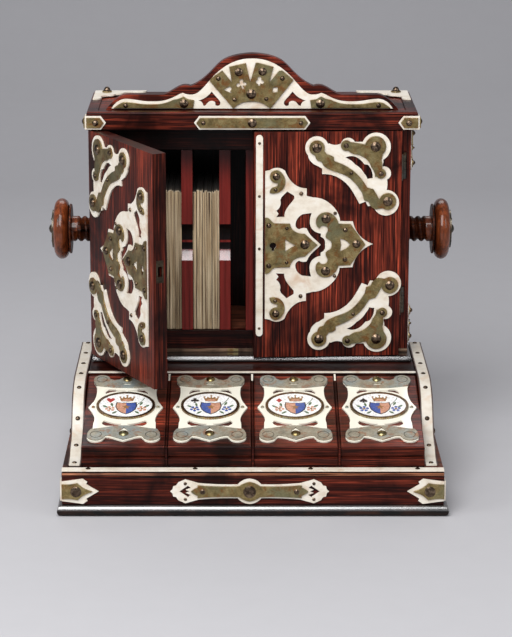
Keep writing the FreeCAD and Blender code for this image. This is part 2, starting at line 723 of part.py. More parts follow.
def make_wings():
    """The two side boards with S-curved fronts, and every ivory strip and its studs."""
    wing = wing_profile(v.tray_top, 0.0).extrude(Vector(v.wing_thick, 0, 0))
    strip = wing_profile(None, v.strip_thick).extrude(Vector(v.wing_thick, 0, 0))
    strips = []
    for side, name in SIDE_NAMES.items():
        start = v.wing_inner if side == RIGHT else -v.wing_outer
        node(feature(f"wing_{name}", moved([wing], start)))
        strips += moved([strip], start)
    rim = Part.makeBox(2 * v.base_half, v.rim_width, v.strip_thick,
                       Vector(-v.base_half, v.rail_y + v.rim_setback, v.tray_top))
    lip_line = Part.makeBox(2 * v.platform_half, v.rim_width / 2, v.strip_thick * 0.6,
                            Vector(-v.platform_half, v.platform_front, v.platform_top))
    strips += [rim, lip_line]
    for index in range(-1, 2):
        middle = index * v.box_pitch - v.divider_thick / 2
        strips.append(Part.makeBox(v.divider_thick, 1.2, v.lid_front_z - v.tray_top,
                                   Vector(middle, v.box_front - 1.2, v.tray_top)))
    node(feature("ivory_strips", strips))

    studs = []
    face_up = Placement(Vector(), Rotation(Vector(1, 0, 0), -90))

    def upright_stud(x, y, z, radius):
        solid = stud(0, 0, radius, 0, 0.55 * v.pin_radius)
        return turned_shapes([solid], Placement(Vector(x, y, z), face_up.Rotation))[0]

    rim_middle = v.rail_y + v.rim_setback + v.rim_width / 2
    for share in (0.862, 0.302):
        studs += [upright_stud(sign * share * v.base_half, rim_middle, v.rim_top, v.pin_radius)
                  for sign in (-1, 1)]
    level = v.wing_top + v.strip_thick
    for side in SIDE_NAMES:
        middle = side * (v.wing_inner + v.wing_thick / 2)
        for share in (0.03, 0.35, 0.67, 0.97):
            along = v.wing_back + share * (v.wing_shoulder - v.wing_back)
            studs.append(upright_stud(middle, along, level, v.pin_radius))
        out = Placement(Vector(side * v.wing_outer, v.wing_toe + v.wing_stud_run,
                               v.tray_top + v.wing_stud_height), Rotation(UP, 90 * side))
        studs += turned_shapes([stud(0, 0, 1.4 * v.pin_radius, 0)], out)
    node(feature("strip_studs", studs))


def make_dividers():
    """The thin boards between the boxes, sloped like the lids."""
    parts = []
    for index in range(-1, 2):
        name = f"divider_{index + 2}"
        board = box(f"{name}_board", f"{index} * box_pitch - divider_thick / 2", "box_front", "tray_top",
                    "divider_thick", "box_depth", "wing_height")
        slope = box(f"{name}_slope", f"{index} * box_pitch - divider_thick", "box_front", "lid_front_z",
                    "2 * divider_thick", "2 * box_depth", "wing_height")
        slope.Placement.Rotation = Rotation(SLOPE_AXIS, v.lid_slope)
        bind(slope, angle="lid_slope")
        parts.append(cut(name, board, slope))
    node(group("tray_dividers", *parts))


# ---------------------------------------------------------------- drawer

def make_drawer():
    """The drawer: its front is the whole front rail of the base."""
    low = "plinth_height + drawer_clear"
    front = box("drawer_board", "-base_half", "rail_y", low, "2 * base_half", "drawer_front_thick",
                "base_height - 2 * drawer_clear")
    lip = box("drawer_lip", "-base_half", "rail_y", low, "2 * base_half", "lip_thick",
              "base_height + tray_thick - lip_gap - drawer_clear")
    node(fuse("drawer_front", front, lip))
    half = "tray_inner - drawer_clear"
    block = box("drawer_block", f"-({half})", "drawer_back_face", low, f"2 * ({half})",
                "drawer_length", "drawer_height")
    hollow = box("drawer_hollow", f"drawer_side - ({half})", "drawer_back_face",
                 f"{low} + drawer_bottom", f"2 * ({half}) - 2 * drawer_side",
                 "drawer_length - drawer_side", "drawer_height")
    node(cut("drawer_tray", block, hollow))

    middle = v.plinth_height + v.base_height / 2
    ivory, brass = strap_mount(v.strap_half)
    at_middle = {"x": v.strap_shift, "y": v.rail_y, "z": middle}
    ivory, brass = moved(ivory, **at_middle), moved(brass, **at_middle)
    wrap_height = 12.4 * v.end_reach / 22.4
    for side in SIDE_NAMES:
        shapes = end_mount(v.end_reach, side)
        place = {"x": side * v.base_half, "y": v.rail_y, "z": middle}
        ivory += moved(shapes[0], **place)
        brass += moved(shapes[1], **place)
        wrap = Part.makeBox(v.ivory_thick, v.drawer_front_thick - 1, wrap_height,
                            Vector(0, v.rail_y, middle - wrap_height / 2))
        ivory += moved([wrap], v.base_half if side == RIGHT else -v.base_half - v.ivory_thick)
    node(feature("drawer_ivory", ivory))
    node(feature("drawer_brass", brass))


# ---------------------------------------------------------------- boxes and lids

def lid_mount_shapes(drawn_width=50.9, drawn_length=89.0):
    """Ivory fret, two brass bands, bezel, plaque and studs of one lid, on its own plane."""
    wide = v.box_width / drawn_width
    high = v.lid_length / drawn_length
    seat = v.ivory_thick
    fret = drawn(wide, high, (0, -30), [(0, 26.5)], [(19.3, 26.2)], [(18.8, 20), (18.9, 14), (20.3, 6)],
                 [(23.2, -1.2)], [(20.2, -8.5), (18.9, -14), (19.2, -20)], [(19.4, -28)], [(12, -30)])
    band_top = drawn(wide, high, (0, 23.0), [(0, 36.2)], [(3.0, 35.2), (4.8, 33.0)], [(8.5, 32.2)],
                     [(11.2, 34.2)], [(12.6, 37.2), (16, 38.6), (19.6, 37.3), (21.4, 33.3), (20.6, 29.0)],
                     [(19.6, 25.8)], [(14, 24.6), (8, 23.4)])
    band_low = drawn(wide, high, (0, -41.0), [(0, -24.6)], [(5, -24.4)],
                     [(10, -26.2), (15, -27.6), (20.2, -28.6)], [(21.6, -31.5), (22.3, -36)],
                     [(20.9, -40.2), (17.5, -41.8), (14.2, -41.0), (12.2, -38.4)], [(11.0, -36.2)],
                     [(8.4, -36.6), (4.6, -38.6)])
    rim = 0.9 * high
    ivory = [half_and_mirror(fret, seat, 0.0, flip_x)]
    bands = []
    for wire, shift in ((band_top, rim), (band_low, -rim)):
        under = half_and_mirror(wire, seat, 0.0, flip_x)
        ivory += [under] + moved([under], z=shift)
        bands.append(half_and_mirror(wire, v.brass_thick, seat, flip_x))
    ivory = joined(ivory)
    slots = [drawn(wide, high, (0.9, 18.8), [(6.4, 18.9), (10, 17.9)], [(13.2, 16.0)], [(13.4, 18.2)],
                   [(11.0, 21.6)], [(7.2, 21.7)], [(6.6, 20.1)], [(0.9, 20.1)]),
             drawn(wide, high, (1.8, -21.2), [(5.5, -20.9), (9, -19.4), (12.8, -17.1)], [(14.1, -19.6)],
                   [(13.6, -21.8)], [(11.4, -23.8)], [(5.6, -23.6)], [(2.2, -22.4)])]
    for slot in slots:
        opening = plate(slot, 2 * seat, -seat / 2)
        ivory = ivory.cut(opening).cut(flip_x([opening])[0])
    windows = [drawn(wide, high, (0, 26.4), [(0, 28.2)], [(2.8, 28.4)], [(3.0, 27.2)], [(1.6, 26.4)]),
               drawn(wide, high, (0, -31.4), [(0, -26.6)], [(2.9, -30.6)], [(2.0, -31.4)])]
    for index, window in enumerate(windows):
        opening = half_and_mirror(window, 2 * v.brass_thick, seat - v.brass_thick / 2, flip_x)
        bands[index] = bands[index].cut(opening)

    def oval(long_half, short_half, thick, base):
        ring = Part.Ellipse(Vector(), long_half * wide, short_half * wide)
        solid = Part.Face(Part.Wire(ring.toShape())).extrude(Vector(0, 0, thick))
        solid.translate(Vector(0, 0, base))
        return solid

    plaque = oval(16.6, 13.8, v.brass_thick * 1.2, seat)
    bezel = oval(18.3, 15.5, v.brass_thick * 1.6, seat).cut(oval(16.6, 13.8, 3.0, seat))
    top = seat + v.brass_thick
    studs = [stud(0, 33.0 * high, 2.8, top), stud(0, -34.4 * high, 2.9, top)]
    for index, (x, z, radius) in enumerate(((16.2, 33.2, 3.5), (16.9, -35.4, 3.7))):
        for sign in (-1, 1):
            ring = disc(sign * x * wide, z * high, radius, v.brass_thick, top - v.brass_thick / 2)
            ring = ring.cut(disc(sign * x * wide, z * high, radius - 0.5, 3 * v.brass_thick, 0.0))
            bands[index] = bands[index].cut(ring)
    studs += [stud(sign * 20.2 * wide, -1.0, 1.1, seat) for sign in (-1, 1)]
    flat = Placement(Vector(), Rotation(Vector(1, 0, 0), -90))
    upright = [ivory] + bands + studs
    return moved(turned_shapes(upright, flat) + [bezel, plaque], y=0.534 * v.lid_length)


def make_boxes():
    """Four small boxes for counters with sloping lids that slide forward."""
    mounts = lid_mount_shapes()
    for index in range(4):
        middle = f"({index} - 1.5) * box_pitch"
        name = f"box_body_{index + 1}"
        block = box(f"{name}_block", f"{middle} - box_half", "box_front", "box_bottom", "box_width",
                    "box_depth", "wing_height")
        drop = "lid_board + lid_clear"
        slope = box(f"{name}_slope", f"{middle} - box_width",
                    f"box_front - box_depth * cos(lid_slope) + ({drop}) * sin(lid_slope)",
                    f"lid_front_z - box_depth * sin(lid_slope) - ({drop}) * cos(lid_slope)",
                    "2 * box_width", "3 * box_depth", "wing_height")
        lip_drop = "lid_board + lid_tongue + lid_clear"
        ledge = box(f"{name}_ledge", f"{middle} - box_width",
                    f"box_front - box_depth * cos(lid_slope) + ({lip_drop}) * sin(lid_slope)",
                    f"lid_front_z - box_depth * sin(lid_slope)"
                    f" - ({lip_drop}) * cos(lid_slope)",
                    "2 * box_width", "box_depth + box_wall + 2 * lid_clear", "wing_height")
        for cutter in (slope, ledge):
            cutter.Placement.Rotation = Rotation(SLOPE_AXIS, v.lid_slope)
            bind(cutter, angle="lid_slope")
        cavity = box(f"{name}_cavity", f"{middle} - box_half + box_wall", "box_front + box_wall",
                     "box_bottom + box_floor", "box_width - 2 * box_wall", "box_depth - 2 * box_wall",
                     "wing_height")
        node(cut(name, block, slope, ledge, cavity))

        lid = f"lid_panel_{index + 1}"
        board = box(f"{lid}_board", "-box_half", "0", "-lid_board", "box_width", "lid_length", "lid_board")
        lip = box(f"{lid}_lip", "-box_half", "0", "-lid_board - lid_tongue", "box_width", "box_wall",
                  "lid_board + lid_tongue")
        tongue = box(f"{lid}_tongue", "box_wall + lid_clear - box_half", "0", "-lid_board - lid_tongue",
                     "box_width - 2 * box_wall - 2 * lid_clear",
                     "(box_depth - box_wall - lid_clear) / cos(lid_slope)"
                     " - (lid_board + lid_tongue) * tan(lid_slope)", "lid_board + lid_tongue")
        panel = fuse(f"{lid}_joined", board, lip, tongue)
        panel = rounded(lid, panel, v.lid_edge_round, lambda mid, length: abs(mid.z) < 0.01)
        panel.Placement = Placement(Vector(), Rotation(SLOPE_AXIS, v.lid_slope))
        bind(panel, x=middle, y="box_front", z="lid_front_z", angle="lid_slope")
        node(panel)
        place = Placement(Vector((index - 1.5) * v.box_pitch, v.box_front, v.lid_front_z),
                          Rotation(SLOPE_AXIS, v.lid_slope))
        node(feature(f"lid_mounts_{index + 1}", mounts, place))


# ---------------------------------------------------------------- platform and case

def make_platform():
    """The raised platform behind the boxes and the moulding round its edge."""
    block = box("platform_block", "-platform_half", "platform_front", "tray_top", "2 * platform_half",
                "wing_back - platform_front", "platform_height - platform_top_thick")
    rear = box("platform_rear", "-case_half", "wing_back", "tray_top", "2 * case_half",
               "case_back - wing_back", "platform_height - platform_top_thick")
    hollow = box("platform_hollow", "platform_board - case_half", "platform_front + platform_board",
                 "tray_top", "2 * case_half - 2 * platform_board",
                 "case_back - platform_front - 2 * platform_board",
                 "platform_height - platform_top_thick")
    node(cut("platform_frame", fuse("platform_walls", block, rear), hollow))
    front_top = box("platform_top_front", "-platform_half", "platform_front",
                    "platform_top - platform_top_thick", "2 * platform_half",
                    "wing_back - platform_front", "platform_top_thick")
    rear_top = box("platform_top_rear", "-case_half", "wing_back", "platform_top - platform_top_thick",
                   "2 * case_half", "case_back - wing_back", "platform_top_thick")
    node(fuse("platform_top", front_top, rear_top))
    waist = box("waist_block", "-case_half - waist_reach", "case_front - waist_front", "platform_top",
                "2 * case_half + 2 * waist_reach", "case_depth + waist_front", "waist_height")
    node(rounded("waist_moulding", waist, 0.46 * v.waist_height,
                 lambda mid, length: abs(mid.z - v.platform_top - v.waist_height / 2) > 0.5
                 and mid.y < v.case_back - 1))


def hinge_centres():
    """The heights of the middles of the two hinges of a door."""
    return {"upper": "door_top - upper_hinge_drop", "lower": "door_bottom + lower_hinge_rise"}


def make_case():
    """The case of the card press without its doors."""
    node(box("case_base", "-case_half", "case_front", "case_bottom", "2 * case_half", "case_depth",
             "case_base_thick"))
    for side, name in SIDE_NAMES.items():
        board = side_box(f"{name}_side_board", side, "case_inner", "case_half", "case_front",
                         "side_bottom", "case_depth", "side_height")
        bore = cylinder(f"{name}_screw_bore", f"{side} * case_inner - 1", "screw_y", "screw_height",
                        "screw_radius + screw_clear", "case_wall + 2", Vector(1, 0, 0))
        if side == LEFT:
            bind(bore, x="-case_half - 1")
        tools = [bore]
        for level, height in hinge_centres().items():
            tools.append(cylinder(f"{name}_{level}_groove", f"{side} * pin_x", "case_front",
                                  f"{height} - hinge_height / 2", "groove_radius", "hinge_height"))
            tools.append(side_box(f"{name}_{level}_leaf_seat", side, "case_inner", "pin_x",
                                  "case_front", f"{height} - hinge_height / 2", "leaf_thick",
                                  "hinge_height"))
        node(cut(f"case_side_{name}", board, *tools))
    node(box("case_back", "-case_inner", "case_back - case_back_thick", "side_bottom", "2 * case_inner",
             "case_back_thick", "side_height"))
    head = box("head_rail", "-case_inner", "case_front", "case_top - head_rail_height", "2 * case_inner",
               "rail_depth", "head_rail_height")
    sill = box("sill_rail", "-case_inner", "case_front", "side_bottom", "2 * case_inner", "rail_depth",
               "sill_height")
    node(group("case_front_rails", head, sill))
    inside_depth = "case_depth - rail_depth - case_back_thick"
    node(box("card_floor", "-case_inner", "case_front + rail_depth", "stack_floor - card_floor_thick",
             "2 * case_inner", inside_depth, "card_floor_thick"))
    lower = box("partition_lower", "-partition_thick / 2", "case_front + rail_depth", "stack_floor",
                "partition_thick", inside_depth, "case_top - stack_floor")
    nose = box("partition_nose", "-partition_thick / 2", "case_front + board_setback", "stack_floor",
               "partition_thick", "rail_depth - board_setback",
               "case_top - head_rail_height - stack_floor")
    node(fuse("centre_partition", lower, nose))


def make_cornice():
    """The cornice and the pediment with its shaped top edge."""
    depth = "back_y - cornice_front"
    outer = box("cornice_block", "-cornice_half", "cornice_front", "case_top", "2 * cornice_half",
                depth, "cornice_height")
    outer = rounded("cornice_arris", outer, 1.2, lambda mid, length: mid.z > v.cornice_top - 0.1)
    opening = box("roof_opening", "fascia_thick - cornice_half", "cornice_front + fascia_thick",
                  "case_top", "2 * cornice_half - 2 * fascia_thick", f"{depth} - 2 * fascia_thick",
                  "cornice_height")
    node(cut("cornice_fascia", outer, opening))
    node(box("roof_panel", "fascia_thick - cornice_half", "cornice_front + fascia_thick", "case_top",
             "2 * cornice_half - 2 * fascia_thick", f"{depth} - 2 * fascia_thick",
             "cornice_height - roof_sink"))
    runs = [[(x * PEDIMENT_HALF_WIDTH, z * PEDIMENT_RISE) for x, z in run] for run in PEDIMENT_SHOULDERS]
    foot = -v.roof_sink
    half = path((0, foot), [(PEDIMENT_HALF_WIDTH, foot)], [(PEDIMENT_HALF_WIDTH, 0)], *runs)
    board = half_and_mirror(half, v.pediment_thick, 0.0, flip_x)
    node(feature("pediment_board", moved([board], y=v.pediment_face + v.pediment_thick,
                                         z=v.cornice_top)))


def card_fan(thick):
    """Four fanned playing cards in one brass plate, pierced with a spade, two clubs and a diamond."""
    outline = path((-12.0, 1.0), [(-26.9, 18.6)], [(-26.2, 20.1)], [(-19.0, 25.2)], [(-12.9, 17.8)],
                   [(-14.6, 27.6)], [(-4.1, 30.0)], [(-1.2, 17.9)], [(2.2, 30.1)], [(3.4, 30.2)],
                   [(13.5, 27.6)], [(10.7, 17.3)], [(17.0, 25.0)], [(19.0, 25.3)], [(26.2, 19.2)],
                   [(11.6, 1.0)], [(9.4, 2.6), (5.5, 4.8), (-0.4, 5.5), (-6.2, 4.8), (-9.8, 2.8)])
    fan = plate(outline, thick, v.ivory_thick)
    through, start = 3 * thick, v.ivory_thick - thick
    spade = path((-18.4, 12.9), [(-16.8, 13.9), (-14.6, 15.2)], [(-13.4, 14.6), (-13.1, 13.2)],
                 [(-13.9, 12.2)], [(-12.8, 10.9)], [(-14.4, 11.1)], [(-15.2, 11.6)])
    diamond = path((12.9, 14.2), [(16.1, 14.9)], [(16.2, 11.4)], [(13.0, 11.2)])
    suits = [plate(spade, through, start), plate(diamond, through, start)]
    for leaves, stalk in ((((-6.9, 18.6), (-8.8, 15.9), (-4.9, 16.7), (-6.9, 16.9)),
                           ((-7.4, 16.9), [(-6.4, 17.0)], [(-4.9, 13.6)], [(-6.5, 13.2)])),
                          (((4.6, 20.2), (3.5, 18.0), (6.2, 17.9), (4.8, 18.5)),
                           ((4.3, 18.2), [(5.3, 18.2)], [(5.0, 15.4)], [(3.2, 15.6)]))):
        suits.append(joined([disc(x, z, 1.3, through, start) for x, z in leaves]
                            + [plate(path(*stalk), through, start)]))
    for suit in suits:
        fan = fan.cut(suit)
    return fan


def make_case_mounts():
    """Ivory and brass mounts of the pediment, the cornice, the roof and the case sides."""
    seat = v.ivory_thick
    top = seat + v.brass_thick
    half = path((0, 0.8), [(89.5, 0.8)], [(87.6, 3.4), (84.5, 5.8), (80, 7.0)],
                [(75, 6.5), (70, 5.7), (62, 5.3), (56, 5.9), (50, 8.0), (47, 9.6), (44, 10.8)],
                [(40, 9.7), (36, 10.2), (33.5, 11.8), (30, 15.3), (25, 21.0), (20, 25.6), (15, 29),
                 (8, 31.8), (0, 32.7)])
    face = half_and_mirror(half, seat, 0.0, flip_x)
    wings = path((25.7, 11.7), [(28.3, 8.9), (31, 7.1), (34.6, 5.8)], [(32.4, 5.2), (31.5, 4.2), (30.9, 2.5)],
                 [(29.5, 3.0), (28.3, 4.5), (26.1, 5.6), (24.2, 5.3)], [(23.4, 4.2), (23.3, 3.2), (22.2, 2.5)],
                 [(20.9, 2.8), (20.2, 4.2), (20.9, 6.1), (22.9, 8.4)])
    piercing = plate(wings, 2 * seat, -seat / 2)
    face = face.cut(piercing).cut(flip_x([piercing])[0])
    strip = path((37.6, 1.2), [(88.0, 1.2)], [(86.6, 2.2), (84, 4.0), (80.5, 5.0)],
                 [(75, 4.5), (70, 3.8), (64, 3.6), (58, 3.9), (53, 5.2), (50, 6.5)], [(46.5, 7.2)],
                 [(43.6, 8.6)], [(41, 6.9)], [(36.8, 6.2)])
    brass = [plate(strip, v.brass_thick, seat)]
    brass += flip_x(brass)
    fan_thick = 1.2 * v.brass_thick
    brass.append(card_fan(fan_thick))
    studs = []
    for sign in (-1, 1):
        studs += [stud(sign * 43.3, 4.1, 2.8, top), stud(sign * 80.4, 2.9, 1.5, top)]
    for x, z, radius in ((-0.6, 10.3, 3.1), (-8.5, 24.3, 2.6), (6.5, 24.6, 2.6), (-21.4, 20.2, 1.5),
                         (19.1, 20.3, 1.5), (-11.2, 6.8, 1.3), (9.0, 7.2, 1.3)):
        studs.append(stud(x, z, radius, seat + fan_thick))
    place = {"y": v.pediment_face, "z": v.cornice_top}
    ivory, brass = moved([face], **place), moved(brass + studs, **place)

    middle = v.case_top + v.cornice_height / 2 - 1.0
    half, border = v.cornice_mount_half, v.cornice_mount_border
    strap = cornice_strap(v.cornice_strap_half, half, border)
    ivory += moved(strap[0], y=v.cornice_front, z=middle)
    brass += moved(strap[1], y=v.cornice_front, z=middle)
    for side in SIDE_NAMES:
        end = cornice_end(v.cornice_end_reach, half, border, side)
        place = {"x": side * v.cornice_half, "y": v.cornice_front, "z": middle}
        ivory += moved(end[0], **place)
        brass += moved(end[1], **place)
        turn = Placement(Vector(), Rotation(UP, 90 * side))
        shapes = cornice_end(v.cornice_end_reach, half, border, -side)
        for shapes_in, out in ((shapes[0], ivory), (shapes[1], brass)):
            out += moved(turned_shapes(shapes_in, turn), side * v.cornice_half,
                         v.cornice_front - v.ivory_thick, middle)

    upright = Placement(Vector(), Rotation(Vector(1, 0, 0), -90))
    k = v.roof_corner_reach / 34
    corner = drawn(k, k, (0, 0), [(0, 34)], [(3.5, 33), (5.5, 29)], [(5.2, 23), (9, 19)],
                   [(12, 18), (14, 14)], [(18, 12), (19, 9)], [(23, 5.2), (29, 5.5)], [(33, 3.5), (34, 0)])
    for side in SIDE_NAMES:
        flat = [plate(corner, seat)]
        cap = [disc(8.0, 7.0, 3.2, v.brass_thick, seat), stud(8.0, 7.0, 2.6, top)]
        cap = [cap[0].common(plate(path((0, 0), [(0, 40)], [(40, 40)], [(40, 0)]), 9)), cap[1]]
        for shapes, out in ((flat, ivory), (cap, brass)):
            shapes = turned_shapes(shapes, upright)
            shapes = [shape.mirror(Vector(), Vector(0, 1, 0)) for shape in shapes]
            shapes = flip_x(shapes) if side == RIGHT else shapes
            out += moved(shapes, side * (v.cornice_half - 1.5), v.back_y - 1.5, v.cornice_top)

    scale = 0.52
    shrink = FreeCAD.Matrix()
    shrink.scale(scale, 1.0, scale)
    flat_ivory, flat_brass = corner_mount()
    for side in SIDE_NAMES:
        outward = Placement(Vector(side * v.case_half, 0, 0), Rotation(UP, 90 * side))
        for shapes_in, out in ((flat_ivory, ivory), (flat_brass, brass)):
            small = [shape.transformGeometry(shrink) for shape in shapes_in]
            for near_front in (True, False):
                for upper in (True, False):
                    part = flip_z(small) if upper else small
                    rise = v.case_top - 0.6 if upper else v.side_bottom + 0.6
                    start_y = v.case_front + 1.5 if near_front else v.case_back - 0.6
                    goes_back = near_front == (side == RIGHT)
                    part = part if goes_back else flip_x(part)
                    shift = start_y * side
                    part = moved(part, shift, 0, rise)
                    out += turned_shapes(part, outward)
    node(feature("case_ivory", ivory))
    node(feature("case_brass", brass))


# ---------------------------------------------------------------- doors and hinges

def door_place(side):
    """Where a door's own origin, on its pin, lies, and how far the door stands open."""
    angle = v.right_door_angle if side == RIGHT else -v.left_door_angle
    return Placement(Vector(side * v.pin_x, v.case_front, 0), Rotation(UP, angle))


def door_shapes(side):
    """The door's mounts in the frame of its pin: ivory and brass."""
    ivory, brass = [], []
    corner = corner_mount()
    for shapes_in, out in zip(corner, (ivory, brass)):
        inward = flip_x(shapes_in)
        out += moved(flip_z(inward), v.door_edge, 0, v.door_top)
        out += moved(inward, v.door_edge + 2.2, 0, v.door_bottom + 1.6)
    for shapes_in, out in zip(lock_mount(), (ivory, brass)):
        out += moved(shapes_in, 0, 0, v.screw_height)
    if side == RIGHT:
        length = v.door_top - v.door_bottom - 16
        ivory.append(joined([Part.makeBox(4.4, 1.6, length - 4.4, Vector(1.6, -1.6, v.door_bottom + 16.6)),
                             disc(3.8, v.door_bottom + 16.6, 2.2, 1.6),
                             disc(3.8, v.door_bottom + 12.2 + length, 2.2, 1.6)]))
        for share in (0.04, 0.44, 0.7, 0.96):
            brass.append(stud(3.8, v.door_bottom + 14.4 + share * length, 0.9, 1.6, 0.7))
    shapes = ivory, brass
    if side == LEFT:
        shapes = flip_x(ivory), flip_x(brass)
    return [moved(part, -side * v.pin_x, -v.door_face, 0) for part in shapes]


def make_hinges():
    """Butt hinges: fixed leaves with their pins on the case, loose leaves on the doors."""
    fixed = []
    step = (v.hinge_height - 2 * v.leaf_thick * 0.3) / 3
    for side, name in SIDE_NAMES.items():
        loose = []
        for height in (v.door_top - v.upper_hinge_drop, v.door_bottom + v.lower_hinge_rise):
            low = height - v.hinge_height / 2
            middle_low = low + (v.hinge_height - step) / 2

            def barrel(radius, start, length):
                return Part.makeCylinder(radius, length, Vector(0, 0, start))

            leaf = Part.makeBox(v.pin_x - v.case_inner, v.leaf_thick, v.hinge_height,
                                Vector(-(v.pin_x - v.case_inner), 0, low))
            gap = 0.15 * v.leaf_thick
            space = barrel(v.groove_radius, middle_low - gap, step + 2 * gap)
            ends = [barrel(v.knuckle_radius, low, middle_low - gap - low),
                    barrel(v.knuckle_radius, middle_low + step + gap,
                           low + v.hinge_height - middle_low - step - gap)]
            pin = barrel(v.hinge_pin_radius, low, v.hinge_height)
            shape = joined([leaf.cut(space), pin] + ends)
            shape = shape if side == RIGHT else flip_x([shape])[0]
            fixed += moved([shape], side * v.pin_x, v.case_front)

            plate_box = Part.makeBox(v.leaf_thick, v.leaf_width, v.hinge_height,
                                     Vector(-v.pin_gap, -0.6 - v.leaf_width, low))
            for start, end in ((low - 1, middle_low), (middle_low + step, low + v.hinge_height + 1)):
                plate_box = plate_box.cut(barrel(v.groove_radius, start, end - start))
            knuckle = barrel(v.knuckle_radius, middle_low + gap, step - 2 * gap)
            bore = barrel(v.hinge_pin_radius + v.hinge_pin_clear, low, v.hinge_height)
            shape = joined([plate_box, knuckle]).cut(bore)
            loose.append(shape if side == RIGHT else flip_x([shape])[0])
        node(feature(f"hinge_leaves_{name}", loose, door_place(side)))
    node(feature("hinge_fixed", fixed))


def make_doors():
    """Two doors on their hinge pins, the lock of the right one and the strike of the left."""
    for side, name in SIDE_NAMES.items():
        near = f"-{side} * pin_gap"
        far = f"-{side} * door_reach"
        panel = padded(f"door_{name}_board", "XY_Plane",
                       [(near, "-door_face"), (far, "-door_face"), (far, "-door_back_gap"),
                        (near, "-door_back_gap")], "door_top - door_bottom")
        bind(panel, z="door_bottom")
        lock_low = "screw_height - lock_height / 2"
        if side == RIGHT:
            pocket = box("lock_mortise", "-door_reach", "-door_back_gap - door_thick / 2 - lock_thick / 2",
                         lock_low, "lock_length", "lock_thick", "lock_height")
        else:
            pocket = box("strike_recess", "door_reach - strike_thick",
                         "-door_back_gap - door_thick / 2 - bolt_thick / 2 - strike_margin",
                         "screw_height - strike_height / 2", "strike_thick",
                         "bolt_thick + 2 * strike_margin", "strike_height")
        tools = [pocket]
        if side == LEFT:
            tools.append(box("bolt_pocket", "door_reach - strike_thick - bolt_throw",
                             "-door_back_gap - door_thick / 2 - bolt_thick / 2 - bolt_clear",
                             "screw_height - bolt_height / 2 - bolt_clear", "strike_thick + bolt_throw",
                             "bolt_thick + 2 * bolt_clear", "bolt_height + 2 * bolt_clear"))
        door = cut(f"door_{name}_panel", panel, *tools)
        door.Placement = door_place(side)
        bind(door, x=f"{side} * pin_x", y="case_front",
             angle="right_door_angle" if side == RIGHT else "-left_door_angle")
        node(door)
        ivory, brass = door_shapes(side)
        node(feature(f"door_{name}_ivory", ivory, door_place(side)))
        node(feature(f"door_{name}_brass", brass, door_place(side)))

    middle_y = "-door_back_gap - door_thick / 2"
    case = box("lock_block", "-door_reach", f"{middle_y} - lock_thick / 2",
               "screw_height - lock_height / 2", "lock_length", "lock_thick", "lock_height")
    channel = box("bolt_channel", "-door_reach", f"{middle_y} - bolt_thick / 2 - bolt_clear",
                  "screw_height - bolt_height / 2 - bolt_clear", "bolt_length + 2 * bolt_clear",
                  "bolt_thick + 2 * bolt_clear", "bolt_height + 2 * bolt_clear")
    case = cut("lock_case", case, channel)
    bolt = box("lock_bolt", "0", "0", "0", "bolt_length", "bolt_thick", "bolt_height")
    bolt_group = group("lock_bolt_placed", bolt)
    bolt.Label = "bolt_bar"
    bolt_group.Label = "lock_bolt"
    bind(bolt, x="bolt_clear - door_reach", y=f"{middle_y} - bolt_thick / 2",
         z="screw_height - bolt_height / 2")
    for obj in (case, bolt_group):
        obj.Placement = door_place(RIGHT)
        bind(obj, x="pin_x", y="case_front", angle="right_door_angle")
        node(obj)
    strike = box("strike_blank", "door_reach - strike_thick",
                 f"{middle_y} - bolt_thick / 2 - strike_margin", "screw_height - strike_height / 2",
                 "strike_thick", "bolt_thick + 2 * strike_margin", "strike_height")
    slot = box("strike_slot", "door_reach - strike_thick", f"{middle_y} - bolt_thick / 2 - bolt_clear",
               "screw_height - bolt_height / 2 - bolt_clear", "strike_thick",
               "bolt_thick + 2 * bolt_clear", "bolt_height + 2 * bolt_clear")
    strike = cut("strike_plate", strike, slot)
    strike.Placement = door_place(LEFT)
    bind(strike, x="-pin_x", y="case_front", angle="-left_door_angle")
    node(strike)


# ---------------------------------------------------------------- card press

def thread_tool():
    """The groove that the thread cuts into a screw along its X axis."""
    turns_length = v.thread_length
    radius = v.screw_radius
    helix = Part.makeHelix(v.thread_pitch, turns_length, radius)
    half_gap = v.thread_pitch * 0.36
    points = [Vector(radius + 0.4, 0, -half_gap), Vector(radius - v.thread_depth, 0, 0),
              Vector(radius + 0.4, 0, half_gap)]
    profile = Part.makePolygon(points + [points[0]])
    tool = Part.Wire(helix.Edges).makePipeShell([profile], True, True)
    return tool.transformed(Placement(Vector(v.thread_start, 0, 0),
                                      Rotation(Vector(0, 1, 0), 90)).toMatrix())


